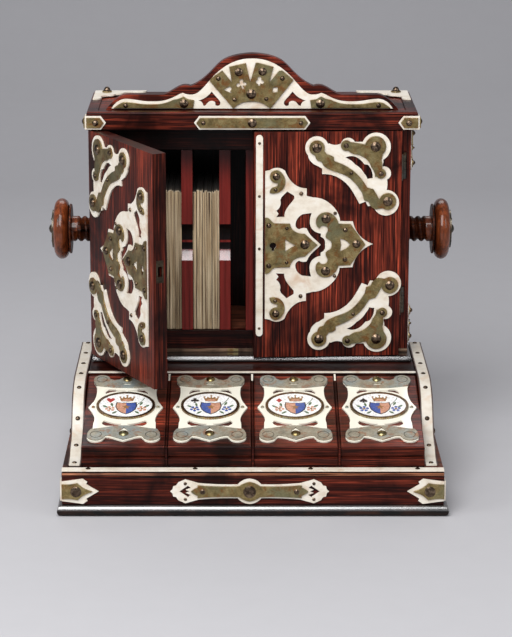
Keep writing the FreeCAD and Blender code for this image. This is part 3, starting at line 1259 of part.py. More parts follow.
def make_presses():
    """The press on each side: screw, cap, pressure plate, boards and packs of cards."""
    groove = thread_tool()
    for side, name in SIDE_NAMES.items():
        turning = turned(f"screw_{name}_turning",
                         [("0", "0"), ("0", "screw_radius"), ("collar_end", "screw_radius"),
                          ("collar_end", "flange_radius"), ("knob_start", "flange_radius"),
                          ("knob_start", "knob_radius"), ("knob_end", "knob_radius"),
                          ("knob_end", "0")])
        tool = feature(f"screw_{name}_thread", [groove])
        smooth = rounded(f"screw_{name}_round", turning, v.knob_round,
                         lambda mid, length: abs(length - 2 * math.pi * v.knob_radius) < 0.01)
        screw = cut(f"press_screw_{name}", smooth, tool)
        place = Placement(Vector(side * v.screw_foot, v.screw_y, v.screw_height),
                          Rotation(UP, 0 if side == RIGHT else 180))
        screw.Placement = place
        bind(screw, x=f"{side} * screw_foot", y="screw_y", z="screw_height")
        node(screw)
        face_out = Placement(Vector(v.knob_end, 0, 0), Rotation(UP, 90))
        shapes = [disc(0, 0, v.cap_radius, v.cap_thick), stud(0, 0, 3.2, v.cap_thick, 2.6)]
        for step in range(6):
            turn = math.radians(60 * step)
            reach = 0.68 * v.cap_radius
            shapes.append(stud(reach * math.cos(turn), reach * math.sin(turn), 1.1, v.cap_thick, 0.8))
        shapes = turned_shapes(shapes, face_out)
        node(feature(f"screw_cap_{name}", shapes, place))

        plate_board = side_box(f"pressure_plate_{name}", side, "plate_inner", "plate_outer",
                               "case_front + board_setback", "stack_floor + stack_clear",
                               "case_depth - case_back_thick - board_setback - stack_clear",
                               "board_height")
        boards, packs = [plate_board], []
        outer = "plate_inner"
        for step in range(3):
            inner = f"{outer} - pack_thick"
            packs.append(side_box(f"pack_{name}_{step + 1}", side, inner, outer,
                                  "case_front + board_setback + card_setback",
                                  "stack_floor + stack_clear", "card_width", "card_height"))
            outer = inner
            inner = f"{outer} - board_thick"
            board = side_box(f"board_{name}_{step + 1}", side, inner, outer,
                             "case_front + board_setback", "stack_floor + stack_clear",
                             "case_depth - case_back_thick - board_setback - stack_clear",
                             "board_height")
            radius = "(notch_chord * notch_chord / 4 + notch_depth * notch_depth) / (2 * notch_depth)"
            notch = cylinder(f"notch_{name}_{step + 1}",
                             inner if side == RIGHT else f"-({outer})",
                             f"case_front + board_setback + notch_depth - {radius}",
                             "stack_floor + notch_rise", radius, "board_thick", Vector(1, 0, 0))
            boards.append(cut(f"notched_{name}_{step + 1}", board, notch))
            outer = inner
        node(group(f"press_boards_{name}", *boards))
        node(group(f"card_packs_{name}", *packs))


def check_and_export():
    """Stop on any failed object or shape, then write every piece to its own file."""
    doc.recompute()
    for obj in doc.Objects:
        if "Invalid" in obj.State or "Error" in obj.State:
            raise RuntimeError(f"{obj.Label} failed: {obj.State}")
    os.makedirs("parts", exist_ok=True)
    for piece in nodes:
        shape = piece.Shape
        if shape.isNull() or not shape.isValid() or not shape.Solids:
            raise RuntimeError(f"{piece.Label} has no valid shape")
        shape.exportStep(f"parts/{piece.Label}.step")
    print(len(nodes), "pieces written")


make_base()
make_wings()
make_dividers()
make_drawer()
make_boxes()
make_platform()
make_case()
make_cornice()
make_case_mounts()
make_doors()
make_hinges()
make_presses()
check_and_export()
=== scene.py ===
import math
import random

import bmesh
import bpy
from bpy.props import FloatProperty, FloatVectorProperty, PointerProperty
from mathutils import Matrix, Vector
from mathutils.bvhtree import BVHTree


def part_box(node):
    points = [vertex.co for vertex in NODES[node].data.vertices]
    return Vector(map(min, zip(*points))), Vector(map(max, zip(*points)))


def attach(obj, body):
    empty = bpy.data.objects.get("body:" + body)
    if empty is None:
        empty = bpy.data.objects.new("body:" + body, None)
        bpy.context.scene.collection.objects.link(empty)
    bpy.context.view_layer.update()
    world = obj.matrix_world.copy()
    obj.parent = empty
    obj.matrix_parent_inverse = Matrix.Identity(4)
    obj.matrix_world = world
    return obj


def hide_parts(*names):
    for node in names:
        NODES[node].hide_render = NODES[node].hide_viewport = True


bl_info = {
    "name": "Playing card box",
    "version": (1, 0, 0),
    "blender": (4, 5, 0),
    "location": "View3D > Sidebar > Card Box",
    "description": "Finishes and fine details of a playing card box",
    "category": "Object",
}

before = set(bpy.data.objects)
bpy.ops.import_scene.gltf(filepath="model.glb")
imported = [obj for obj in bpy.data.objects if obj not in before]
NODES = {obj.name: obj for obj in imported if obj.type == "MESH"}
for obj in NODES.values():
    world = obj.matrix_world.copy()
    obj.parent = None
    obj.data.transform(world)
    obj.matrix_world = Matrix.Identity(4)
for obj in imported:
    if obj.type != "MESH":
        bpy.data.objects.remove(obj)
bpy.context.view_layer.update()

MM = 0.001
SIDES = ("left", "right")
LIDS = range(1, 5)
LID_SLOPE = math.radians(15.0)
UP = Vector((0.0, 0.0, 1.0))


# ---- material helpers

def tone(colour, depth):
    """A colour or a texture's scale, times a number."""
    return tuple(depth * part for part in colour)


def three(value):
    """A grey or an even scale as three numbers."""
    return (value,) * 3 if isinstance(value, float) else tuple(value)


class Shader:
    """A material under construction, in which a value is a (node, output) pair."""

    def __init__(self, name, constants=None):
        """Start a material; the constants go on its surface's own sockets."""
        self.material = bpy.data.materials.new(name)
        self.material.use_nodes = True
        self.tree = self.material.node_tree
        self.tree.nodes.clear()
        output = self.add("OutputMaterial")
        self.surface = self.add("BsdfPrincipled", constants)
        self.feed(output.inputs["Surface"], (self.surface, "BSDF"))
        self.place = (self.add("TexCoord"), "Object")

    def feed(self, socket, value):
        """Link a value to a socket, or set the socket to a number, a colour or a vector."""
        if isinstance(value, tuple) and isinstance(value[0], bpy.types.Node):
            self.tree.links.new(value[0].outputs[value[1]], socket)
        else:
            socket.default_value = (*value, 1.0) if socket.type == "RGBA" else value

    def add(self, kind, sockets=None, **settings):
        """A new node with its settings, its sockets fed by their names or places."""
        node = self.tree.nodes.new(f"ShaderNode{kind}")
        for name, value in settings.items():
            setattr(node, name, value)
        for name, value in (sockets or {}).items():
            self.feed(node.inputs[name], value)
        return node

    def noise(self, scale, detail=3.0, distortion=0.0, roughness=0.5):
        """Noise on Object coordinates, with a scale for each axis in repeats per metre."""
        place = self.add("Mapping", {"Vector": self.place, "Scale": three(scale)})
        return self.add("TexNoise", {"Vector": (place, "Vector"), "Scale": 1.0,
                                     "Detail": detail, "Roughness": roughness,
                                     "Distortion": distortion}), "Fac"

    def along(self, axis):
        """How far a point lies along an axis of the object."""
        return self.add("SeparateXYZ", {"Vector": self.place}), axis

    def ramp(self, value, *stops):
        """A colour ramp over a value, with stops of (place, colour or grey)."""
        ramp = self.add("ValToRGB", {"Fac": value})
        elements = ramp.color_ramp.elements
        while len(elements) < len(stops):
            elements.new(0.5)
        for element, (place, colour) in zip(elements, stops):
            element.position = place
            element.color = (*three(colour), 1.0)
        return ramp, "Color"

    def maths(self, operation, *values):
        """A sum on values or numbers."""
        return self.add("Math", dict(enumerate(values)), operation=operation), "Value"

    def spread(self, value, low, high, between=(0.0, 1.0), **settings):
        """Low to high, while a value passes between two limits."""
        return self.add("MapRange", {"Value": value, "To Min": low, "To Max": high,
                                     "From Min": between[0], "From Max": between[1]},
                        **settings), "Result"

    def mixed(self, factor, first, second, blend="MIX"):
        """Two colours mixed by a factor; each of the three is a value or plain numbers."""
        return self.add("Mix", {0: factor, 6: first, 7: second},
                        data_type="RGBA", blend_type=blend), 2

    def shaded(self, value, shade, amount):
        """A colour multiplied by a shade, in full or by an amount."""
        return self.mixed(amount, value, shade, "MULTIPLY")

    def grime_and_shade(self, value, distance, tint, floor=0.0):
        """Painted shade and dirt in corners: ambient occlusion fades the colour to a tint where
        light is short.
        """
        corner = self.add("AmbientOcclusion", {"Distance": distance}, samples=6)
        return self.mixed(self.ramp((corner, "AO"), (floor, 0.0), (0.75, 1.0)), tint, value)

    def relief(self, value, depth, strength, rounding=0.0):
        """A bump from a texture, over edges that are rounded a little."""
        sockets = {"Height": value, "Distance": depth, "Strength": strength}
        if rounding:
            bevel = self.add("Bevel", {"Radius": rounding}, samples=4)
            sockets["Normal"] = (bevel, "Normal")
        self.feed(self.surface.inputs["Normal"], (self.add("Bump", sockets), "Normal"))

    def finish(self, colour, roughness):
        """Give the surface its colour and roughness; this ends the material."""
        self.feed(self.surface.inputs["Base Color"], colour)
        self.feed(self.surface.inputs["Roughness"], roughness)
        return self.material


# ---- finishes

GRAIN_SCALES = {
    "x": (4.0, 560.0, 560.0),
    "y": (560.0, 4.0, 560.0),
    "z": (560.0, 560.0, 3.4),
}
FIBRE_SCALES = {
    "x": (36.0, 1700.0, 1700.0),
    "y": (1700.0, 36.0, 1700.0),
    "z": (1700.0, 1700.0, 36.0),
}
BAND_ACROSS = 130.0
SCRATCH_SCALE = (900.0, 900.0, 2600.0)
WOOD_POLISH = {"Specular IOR Level": 0.13}
LID_POLISH = {"Specular IOR Level": 0.4}
KNOB_POLISH = {"Specular IOR Level": 0.13, "Coat Weight": 0.6, "Coat Roughness": 0.03}
LIT_CARD_DEPTH = 12.0 * MM


def rosewood(name, grain, tones, gloss=0.24, streak=0.49, fibre=0.9, polish=WOOD_POLISH):
    """Polished rosewood: black streaks, red fibres, and broad bands along the grain."""
    dark, middle, bright = tones
    look = Shader(name, polish)
    streaks = look.noise(GRAIN_SCALES[grain], 7.0, 0.25, 0.7)
    value = look.ramp(streaks, (streak - 0.18, dark), (streak, middle),
                        (streak + 0.2, bright))
    fibres = look.noise(FIBRE_SCALES[grain], 3.0, 0.15)
    fine = look.ramp(fibres, (0.38, (0.12, 0.1, 0.1)), (0.55, 1.0))
    value = look.shaded(value, fine, fibre)
    flecks = look.noise(tone(FIBRE_SCALES[grain], 0.8), 2.0, 0.3)
    spark = look.ramp(flecks, (0.56, 0.0), (0.68, fibre))
    value = look.mixed(spark, value, tone(bright, 1.45))
    broad = tuple(min(scale, BAND_ACROSS) for scale in GRAIN_SCALES[grain])
    bands = look.ramp(look.noise(broad, 4.0, 0.5, 0.6), (0.36, (0.34, 0.28, 0.28)),
                        (0.5, (0.95, 0.92, 0.92)), (0.66, (1.25, 1.18, 1.15)))
    value = look.shaded(value, bands, 0.9)
    cloud = look.ramp(look.noise((24.0, 24.0, 18.0), 4.0, 0.6, 0.6),
                        (0.38, (0.15, 0.12, 0.13)), (0.5, (0.85, 0.8, 0.8)),
                        (0.64, (1.25, 1.15, 1.12)))
    value = look.shaded(value, cloud, 0.9)
    look.relief(fibres, 0.06 * MM, 0.5, 0.35 * MM)
    # painted shade and dirt: the wood darkens in corners
    return look.finish(look.grime_and_shade(value, 3.0 * MM, (0.006, 0.003, 0.002)),
                         look.spread(fibres, gloss, gloss + 0.2))


def lacquer(name, colour, shine=0.12, shadow_heights=None):
    """Smooth lacquer with a faint upright grain, darkened from one height to another by a painted
    shadow.
    """
    look = Shader(name, {"Specular IOR Level": shine})
    grain = look.noise((420.0, 420.0, 12.0), 4.0, 0.2, 0.6)
    value = look.ramp(grain, (0.34, tone(colour, 0.5)), (0.52, colour),
                        (0.72, tone(colour, 1.45)))
    # painted shade and dirt: the lacquer darkens in corners
    value = look.grime_and_shade(value, 6.0 * MM, (0.012, 0.003, 0.003))
    # painted shadow: the colour darkens towards the top, between the two heights
    if shadow_heights:
        top_shadow = look.spread(look.along("Z"), 0.0, 0.93, shadow_heights,
                              interpolation_type="SMOOTHSTEP")
        value = look.mixed(top_shadow, value, (0.014, 0.006, 0.006))
    look.relief(grain, 0.05 * MM, 0.3, 0.5 * MM)
    return look.finish(value, look.spread(grain, 0.24, 0.14))


def bone(name, shade=1.0, border=None):
    """Old white bone, cloudy and rusty; border = (middle, half) gives it wooden edges."""
    look = Shader(name)
    cloud = look.noise((110.0, 110.0, 170.0), 6.0, 0.12, 0.62)
    value = look.ramp(cloud, (0.26, tone((0.62, 0.53, 0.42), shade)),
                        (0.48, tone((0.775, 0.705, 0.595), shade)),
                        (0.72, tone((0.84, 0.8, 0.73), shade)))
    spots = look.ramp(look.noise(75.0, 6.0, 1.2), (0.58, 0.0), (0.76, 0.75))
    value = look.mixed(spots, value, (0.6, 0.4, 0.25))
    # painted shade and dirt: the bone darkens in corners
    value = look.grime_and_shade(value, 1.3 * MM, (0.22, 0.13, 0.075), 0.05)
    if border:
        middle, half = border
        out = look.maths("ABSOLUTE", look.along("X"))
        away = look.maths("ABSOLUTE", look.maths("SUBTRACT", out, middle))
        edge = look.spread(away, 0.0, 1.0, (half - 0.15 * MM, half + 0.05 * MM))
        value = look.mixed(edge, value, (0.055, 0.026, 0.019))
    look.relief(look.noise(SCRATCH_SCALE, 2.0), 0.035 * MM, 0.4, 0.25 * MM)
    return look.finish(value, look.spread(cloud, 0.45, 0.3))


def gilt_brass(name, tones, rough=0.36, metallic=1.0):
    """Worn brass with olive tarnish, rusty patches and fine scratches."""
    red, green, blue = tones[1]
    look = Shader(name, {"Metallic": metallic})
    tarnish = look.noise(150.0, 7.0, 0.3, 0.7)
    value = look.ramp(tarnish, *zip((0.3, 0.5, 0.7), tones))
    bloom = look.ramp(look.noise(55.0, 5.0, 0.4, 0.6), (0.5, 0.0), (0.66, 0.7))
    value = look.mixed(bloom, value, (red * 0.8, green * 1.08, blue * 1.45))
    rust = look.ramp(look.noise(190.0, 6.0, 0.5, 0.65), (0.52, 0.0), (0.65, 0.85))
    value = look.mixed(rust, value, (red * 0.92, green * 0.5, blue * 0.36))
    scratches = look.noise(SCRATCH_SCALE, 3.0, 0.2)
    fine = look.ramp(scratches, (0.35, (0.72, 0.7, 0.66)), (0.62, 1.0))
    value = look.shaded(value, fine, 0.8)
    look.relief(scratches, 0.05 * MM, 0.5, 0.22 * MM)
    # painted shade and dirt: the brass darkens in corners
    return look.finish(look.grime_and_shade(value, 1.2 * MM, (0.035, 0.022, 0.012), 0.05),
                         look.spread(tarnish, rough + 0.14, rough - 0.1))


def bronze_stud():
    """Dark bronze of the dome heads, bright only where the light strikes."""
    look = Shader("bronze_stud", {"Metallic": 1.0})
    tarnish = look.noise(420.0, 4.0, 0.6)
    value = look.ramp(tarnish, (0.35, (0.05, 0.034, 0.024)), (0.55, (0.15, 0.105, 0.072)),
                        (0.75, (0.3, 0.22, 0.15)))
    look.relief(tarnish, 0.05 * MM, 0.35)
    # painted shade and dirt: the bronze darkens in corners
    return look.finish(look.grime_and_shade(value, 1.0 * MM, (0.02, 0.014, 0.009), 0.1),
                         look.spread(tarnish, 0.34, 0.2))


def ebonised(name, gloss=0.5, shine=0.2, index=1.5, rounding=0.4 * MM):
    """Black polish with brown rubbed through in places."""
    look = Shader(name, {"Specular IOR Level": shine, "IOR": index})
    rub = look.noise((60.0, 220.0, 220.0), 5.0, 0.5)
    look.relief(rub, 0.06 * MM, 0.3, rounding)
    return look.finish(look.ramp(rub, (0.45, (0.006, 0.005, 0.005)),
                                     (0.74, (0.034, 0.013, 0.008))),
                         look.spread(rub, gloss, gloss + 0.12))


def card_edges():
    """The edges of stacked cards: beige paper, handled and brown in places."""
    look = Shader("card_edges")
    leaves = look.noise((2300.0, 60.0, 14.0), 2.0)
    value = look.ramp(leaves, (0.39, (0.11, 0.07, 0.04)), (0.46, (0.58, 0.43, 0.26)),
                        (0.66, (0.78, 0.65, 0.45)))
    worn = look.ramp(look.noise((260.0, 60.0, 30.0), 5.0, 0.4),
                       (0.35, (0.66, 0.6, 0.52)), (0.62, 1.0))
    value = look.shaded(value, worn, 0.9)
    look.relief(leaves, 0.1 * MM, 0.5)
    # painted shade and dirt: the paper darkens in corners
    return look.finish(look.grime_and_shade(value, 1.6 * MM, (0.06, 0.035, 0.02), 0.05), 0.8)


def card_tops():
    """The tops of the cards: lit at the front edge, and behind it darkened by a painted shadow,
    mottled with dust.
    """
    look = Shader("card_tops")
    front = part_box("card_packs_left")[0].y
    # painted shadow: past a lit strip at the front, the tops turn dark
    depth = look.spread(look.along("Y"), 0.0, 1.0, (front, front + LIT_CARD_DEPTH))
    value = look.ramp(depth, (0.15, (0.62, 0.52, 0.37)), (0.35, (0.06, 0.045, 0.03)),
                        (1.0, (0.014, 0.01, 0.008)))
    dust = look.ramp(look.noise((500.0, 300.0, 500.0)), (0.35, 0.6), (0.6, 1.0))
    return look.finish(look.shaded(value, dust, 0.8), 0.9)


def painted(name, colour, rough=0.3):
    """Enamel paint on porcelain, a little uneven in tone."""
    look = Shader(name, {"Coat Weight": 0.4})
    pale = tuple(min(1.0, 1.18 * part + 0.03) for part in colour)
    return look.finish(look.ramp(look.noise(900.0, 3.0, 0.4), (0.32, tone(colour, 0.72)),
                                     (0.52, colour), (0.72, pale)), rough)


# ---- faces of a CAD node

STUD_SIZE = 8.2 * MM
STUD_RISE = 0.15


def islands(mesh):
    """Each solid of a mesh: its polygons, its lowest corner and its highest corner."""
    parent = {}

    def root(key):
        while parent[key] != key:
            parent[key] = parent[parent[key]]
            key = parent[key]
        return key

    keys = [tuple(round(part * 1e6) for part in vertex.co) for vertex in mesh.vertices]
    parent.update(zip(keys, keys))
    for polygon in mesh.polygons:
        first = root(keys[polygon.vertices[0]])
        for index in polygon.vertices[1:]:
            parent[root(keys[index])] = first
    groups = {}
    for polygon in mesh.polygons:
        groups.setdefault(root(keys[polygon.vertices[0]]), []).append(polygon)
    solids = []
    for polygons in groups.values():
        axes = list(zip(*(mesh.vertices[index].co
                          for polygon in polygons for index in polygon.vertices)))
        solids.append((polygons, Vector([min(axis) for axis in axes]),
                       Vector([max(axis) for axis in axes])))
    return solids


def is_stud(low, high):
    """True for the small domed solids: short every way, and not flat."""
    size = sorted(high - low)
    return size[2] < STUD_SIZE and size[0] > STUD_RISE * size[2]


def dress(nodes, *materials):
    """Give CAD nodes their materials; the first is used until faces are told otherwise."""
    for node in nodes:
        slots = NODES[node].data.materials
        slots.clear()
        for material in materials:
            slots.append(material)


def pick_by_face(mesh, choose):
    """Give each face of a mesh the material that choose picks from its polygon."""
    for polygon in mesh.polygons:
        polygon.material_index = choose(polygon)


def dress_by_face(node, materials, choose):
    """Dress a CAD node in several materials, picked face by face."""
    dress([node], *materials)
    pick_by_face(NODES[node].data, choose)


def dress_by_solid(node, materials, choose):
    """Dress a CAD node in several materials, picked from the corners of each solid."""
    dress([node], *materials)
    for polygons, low, high in islands(NODES[node].data):
        for polygon in polygons:
            polygon.material_index = choose(low, high)


def broad_side(node):
    """The way that a board's broadest face looks."""
    return max(NODES[node].data.polygons, key=lambda polygon: polygon.area).normal.copy()


# ---- modelling helpers

SMOOTH_UNDER = math.radians(35.0)
CURVE_STEPS = 5


def object_from(builder, name, material, smooth=True):
    """Turn a bmesh into an object with a finish, its faces pointing outwards."""
    bmesh.ops.recalc_face_normals(builder, faces=builder.faces[:])
    mesh = bpy.data.meshes.new(name)
    builder.to_mesh(mesh)
    builder.free()
    for polygon in mesh.polygons:
        polygon.use_smooth = smooth
    if smooth:
        mesh.set_sharp_from_angle(angle=SMOOTH_UNDER)
    mesh.materials.append(material)
    made = bpy.data.objects.new(name, mesh)
    bpy.context.scene.collection.objects.link(made)
    return made


def finished(builder, name, body, material, smooth=True):
    """Turn a bmesh into a piece that rides on a body and takes a finish from a slot."""
    piece = object_from(builder, name, material, smooth)
    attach(piece, body)
    return piece


def raised_shape(builder, outline, thick, place, edge=0.0):
    """A flat shape, raised by its thickness, with its upper edges rounded, put in place."""
    vertices = [builder.verts.new((x, y, 0.0)) for x, y in outline]
    face = builder.faces.new(vertices)
    face.normal_update()
    if face.normal.z < 0.0:
        face.normal_flip()
    raised = bmesh.ops.extrude_face_region(builder, geom=[face], use_keep_orig=True)["geom"]
    top = [item for item in raised if isinstance(item, bmesh.types.BMVert)]
    bmesh.ops.translate(builder, vec=(0.0, 0.0, thick), verts=top)
    made = vertices + top
    if edge:
        rim = [item for item in raised if isinstance(item, bmesh.types.BMEdge)]
        cut = bmesh.ops.bevel(builder, geom=rim, offset=edge, offset_type="OFFSET",
                              segments=2, profile=0.5, affect="EDGES", material=-1)
        made = [vertex for vertex in made if vertex.is_valid] + cut["verts"]
    bmesh.ops.transform(builder, matrix=place, verts=list(set(made)))


def turned(builder, profile, steps, shift=0.0):
    """Turn a profile of (along, radius) once about the X axis, moving along by a shift."""
    line = [builder.verts.new((along, radius, 0.0)) for along, radius in profile]
    edges = [builder.edges.new(pair) for pair in zip(line, line[1:])]
    bmesh.ops.spin(builder, geom=line + edges, cent=(0.0, 0.0, 0.0), axis=(1.0, 0.0, 0.0),
                   dvec=(shift / steps, 0.0, 0.0), angle=math.tau, steps=steps,
                   use_merge=not shift)


def dome(builder, radius, rise, place):
    """The round head of a stud: a ball flattened to its rise, half of it in the mount."""
    ball = bmesh.ops.create_uvsphere(builder, u_segments=16, v_segments=8, radius=1.0)
    shape = Matrix.Diagonal((radius, radius, rise, 1.0))
    bmesh.ops.transform(builder, matrix=place @ shape, verts=ball["verts"])


def placed(spot, turn=0.0, axis="X"):
    """A place: a turn about an axis, and then a move to a spot."""
    return Matrix.Translation(spot) @ Matrix.Rotation(turn, 4, axis)


def oblong(left, right, bottom, top):
    """The corners of an oblong."""
    return [(left, bottom), (right, bottom), (right, top), (left, top)]


def ring_of(count, radius):
    """Points on a circle."""
    angles = [math.tau * step / count for step in range(count)]
    return [(radius * math.cos(angle), radius * math.sin(angle)) for angle in angles]


def curve_of(corners):
    """A smooth closed outline through corners (Catmull-Rom)."""
    points = []
    for index in range(len(corners)):
        before, start, end, after = (Vector(corners[(index + shift) % len(corners)])
                                     for shift in (-1, 0, 1, 2))
        for step in range(CURVE_STEPS):
            part = step / CURVE_STEPS
            points.append(0.5 * (2.0 * start + (end - before) * part
                                 + (2.0 * before - 5.0 * start + 4.0 * end - after) * part ** 2
                                 + (3.0 * start - before - 3.0 * end + after) * part ** 3))
    return [tuple(point) for point in points]


def both_sides(half):
    """A closed outline from its right half, listed from top to bottom."""
    return half + [(-x, y) for x, y in reversed(half) if abs(x) > 1e-9]


# ---- settings

def colour(name, what, *default):
    """A colour that the panel shows."""
    return FloatVectorProperty(name=name, description=f"Colour of the {what}",
                               subtype="COLOR", default=default)


def power(name, what, watts):
    """A lamp's power that the panel shows."""
    return FloatProperty(name=name, description=f"Power of the {what}", subtype="POWER",
                         unit="POWER", default=watts, min=0.0)


class CardBoxWoodSettings(bpy.types.PropertyGroup):
    rosewood_dark: colour("Dark streak", "black streaks", 0.013, 0.005, 0.005)
    rosewood_middle: colour("Wood", "rosewood between the streaks", 0.135, 0.022, 0.0125)
    rosewood_bright: colour("Bright streak", "red streaks", 0.36, 0.062, 0.029)
    mahogany: colour("Inside wood", "wood inside", 0.115, 0.04, 0.022)
    lacquer: colour("Press boards", "lacquered boards in the press", 0.16, 0.016, 0.012)
    knob: colour("Knob wood", "polished press knobs", 0.42, 0.102, 0.026)


class CardBoxMountSettings(bpy.types.PropertyGroup):
    brass_dark: colour("Tarnish", "tarnished brass", 0.125, 0.092, 0.042)
    brass_middle: colour("Brass", "brass plates", 0.33, 0.25, 0.11)
    brass_bright: colour("Bright brass", "rubbed brass", 0.56, 0.44, 0.21)
    band: colour("Lid bands", "grey brass bands on the lids", 0.4, 0.365, 0.285)


class CardBoxPlaqueSettings(bpy.types.PropertyGroup):
    porcelain: colour("Porcelain", "oval plaques", 0.91, 0.9, 0.88)
    red: colour("Red enamel", "hearts and diamonds", 0.42, 0.035, 0.03)
    blue: colour("Blue enamel", "half of each shield and of some petals", 0.055, 0.1, 0.34)
    paint_thickness: FloatProperty(
        name="Paint thickness", description="How far the enamel stands up",
        subtype="DISTANCE", unit="LENGTH", default=0.16 * MM, min=0.05 * MM)
    pip_height: FloatProperty(
        name="Pip height", description="Height of the suit pip on a plaque",
        subtype="DISTANCE", unit="LENGTH", default=5.4 * MM, min=1.0 * MM)


class CardBoxStageSettings(bpy.types.PropertyGroup):
    floor: colour("Floor", "floor in front", 0.46, 0.455, 0.472)
    backdrop: colour("Backdrop", "backdrop at the top", 0.285, 0.281, 0.297)
    key_power: power("Main lamp", "large lamp above in front", 24.0)
    top_power: power("Back lamp", "lamp above behind", 6.0)
    fill_power: power("Fill lamps", "lamps at the sides", 6.0)


# ---- woods

ROSEWOOD_NODES = {
    "rosewood_front": ("x", 0.48, ("cornice_fascia",)),
    "rosewood_drawer": ("x", 0.42, ("drawer_front",)),
    "rosewood_roof": ("x", 0.75, ("roof_panel",)),
    "rosewood_crest": ("x", 0.95, ("pediment_board",)),
    "rosewood_rails": ("x", 0.24, ("platform_top",)),
    "rosewood_wings": ("y", 0.6, ("wing_left", "wing_right")),
    "rosewood_upright": ("z", 0.82, ("case_side_left", "case_side_right")),
}
# the open left door is a darker tone than the right: painted shade
DOOR_DEPTHS = {"left": 0.68, "right": 0.82}
BOX_NODES = ("box_body_1", "box_body_2", "box_body_3", "box_body_4", "tray_dividers")
MAHOGANY_NODES = {
    "x": ("tray_floor", "bottom_board", "card_floor"),
    "y": ("drawer_tray",),
}
PRESS_BOARDS = ("centre_partition", "press_boards_left", "press_boards_right")
WORN_TONES = ((0.07, 0.04, 0.024), (0.19, 0.125, 0.08), (0.3, 0.21, 0.14))
BOARD_SHADE = (176.0 * MM, 200.0 * MM)
RAIL_SHADE = 150.0 * MM


def looks_forward(polygon):
    """1 for a face that looks to the front, and 0 for another."""
    return int(polygon.normal.y < -0.5)


def notch_part(polygon):
    """0 for a board's upright and level faces, 1 or 2 for a dark or lit face of its notch."""
    slope = polygon.normal.z
    if not 0.02 < abs(slope) < 0.95:
        return 0
    return 1 if slope < 0.28 else 2


class CARDBOX_OT_finish_woods(bpy.types.Operator):
    """Polish every wooden part along its own grain"""

    bl_idname = "card_box.finish_woods"
    bl_label = "Finish woods"

    def execute(self, context):
        colours = context.scene.card_box_wood

        def wood(name, grain, depth, **settings):
            tones = (tuple(colours.rosewood_dark), tone(colours.rosewood_middle, depth),
                     tone(colours.rosewood_bright, depth))
            return rosewood(name, grain, tones, **settings)

        made = {}
        for name, (grain, depth, nodes) in ROSEWOOD_NODES.items():
            made[name] = wood(name, grain, depth)
            dress(nodes, made[name])
        self.polish_doors(wood)
        self.polish_boxes(wood)
        self.polish_rails(wood, made)
        self.polish_inside(wood, made, tuple(colours.mahogany), tuple(colours.lacquer))
        return {"FINISHED"}

    @staticmethod
    def polish_doors(wood):
        """The two doors, darker on their narrow edges; the left door is darker all over, a
        painted shade.
        """
        edge = wood("door_edge", "z", 0.22)
        for side, depth in DOOR_DEPTHS.items():
            node = f"door_{side}_panel"
            outward = broad_side(node)
            dress_by_face(node, (wood(f"rosewood_{side}_door", "z", depth), edge),
                          lambda polygon: int(abs(polygon.normal.dot(outward)) < 0.5))

    @staticmethod
    def polish_boxes(wood):
        """The four boxes and their lids, which are darker on their front edge."""
        box_wood = wood("box_wood", "x", 0.36, gloss=0.34)
        dress(BOX_NODES, box_wood)
        lid_wood = wood("lid_wood", "x", 0.85, polish=LID_POLISH)
        for index in LIDS:
            dress_by_face(f"lid_panel_{index}", (lid_wood, box_wood),
                          lambda polygon: int(polygon.normal.y < -0.6))

    @staticmethod
    def polish_rails(wood, made):
        """The rails, frames and base, and the black mouldings."""
        rails = made["rosewood_rails"]
        for node, front in (("platform_frame", rails), ("base_frame", made["rosewood_drawer"])):
            dress_by_face(node, (front, made["rosewood_wings"]),
                          lambda polygon: int(abs(polygon.normal.x) > 0.5))
        dress_by_face("case_front_rails", (rails, wood("rail_shade", "x", 0.07)),
                      lambda polygon: int(polygon.center.z > RAIL_SHADE))
        dress_by_face("case_base", (rails, rosewood("worn_edge", "x", WORN_TONES, 0.3)),
                      looks_forward)
        dress(["waist_moulding"], ebonised("waist_polish", 0.16, 1.0, 2.1, 3.6 * MM))
        plinth = (ebonised("plinth_polish", 0.19, 1.0, 2.0, 1.2 * MM), ebonised("plinth_foot"))
        dress_by_face("plinth_moulding", plinth, lambda polygon: int(polygon.normal.z < 0.12))

    @staticmethod
    def polish_inside(wood, made, inner, red):
        """The back, the floors, the drawer's tray and the lacquered press boards; painted shade
        darkens the back's inside face and the boards' tops and notches.
        """
        # the back's inside face is near black: painted shade deep in the case
        dress_by_face("case_back", (made["rosewood_upright"], wood("inside_back_shade", "z", 0.06)),
                      looks_forward)
        for grain, nodes in MAHOGANY_NODES.items():
            tones = (tone(inner, 0.45), inner, tone(inner, 1.7))
            dress(nodes, rosewood(f"mahogany_{grain}", grain, tones, 0.3, 0.46))
        boards = (lacquer("red_lacquer", red, shadow_heights=BOARD_SHADE),
                  wood("notch_shade", "z", 0.03), lacquer("notch_lacquer", red, 1.0))
        for node in PRESS_BOARDS:
            dress_by_face(node, boards, notch_part)


# ---- press knobs

# lengths along the screw, from its inner end
SCREW_START = 1.0 * MM
NECK_START = 18.0 * MM
FLANGE_START = 24.9 * MM
KNOB_START = 26.5 * MM
KNOB_REACH = 36.2 * MM

FLANGE_RADIUS = 16.4 * MM
FLANGE_EDGE = 0.3 * MM
RIM_MIDDLE = 14.4 * MM
RIM_STEPS = 14
FACE_RADIUS = 8.0 * MM
SCREW_RADIUS = 8.4 * MM
SCREW_OVERLAP = 0.3 * MM
SCREW_STEPS = 44
THREAD_PITCH = 4.7 * MM
THREAD_DEPTH = 1.5 * MM
THREAD_FADE = 1.6 * MM
THREAD_SHAPE = 1.6


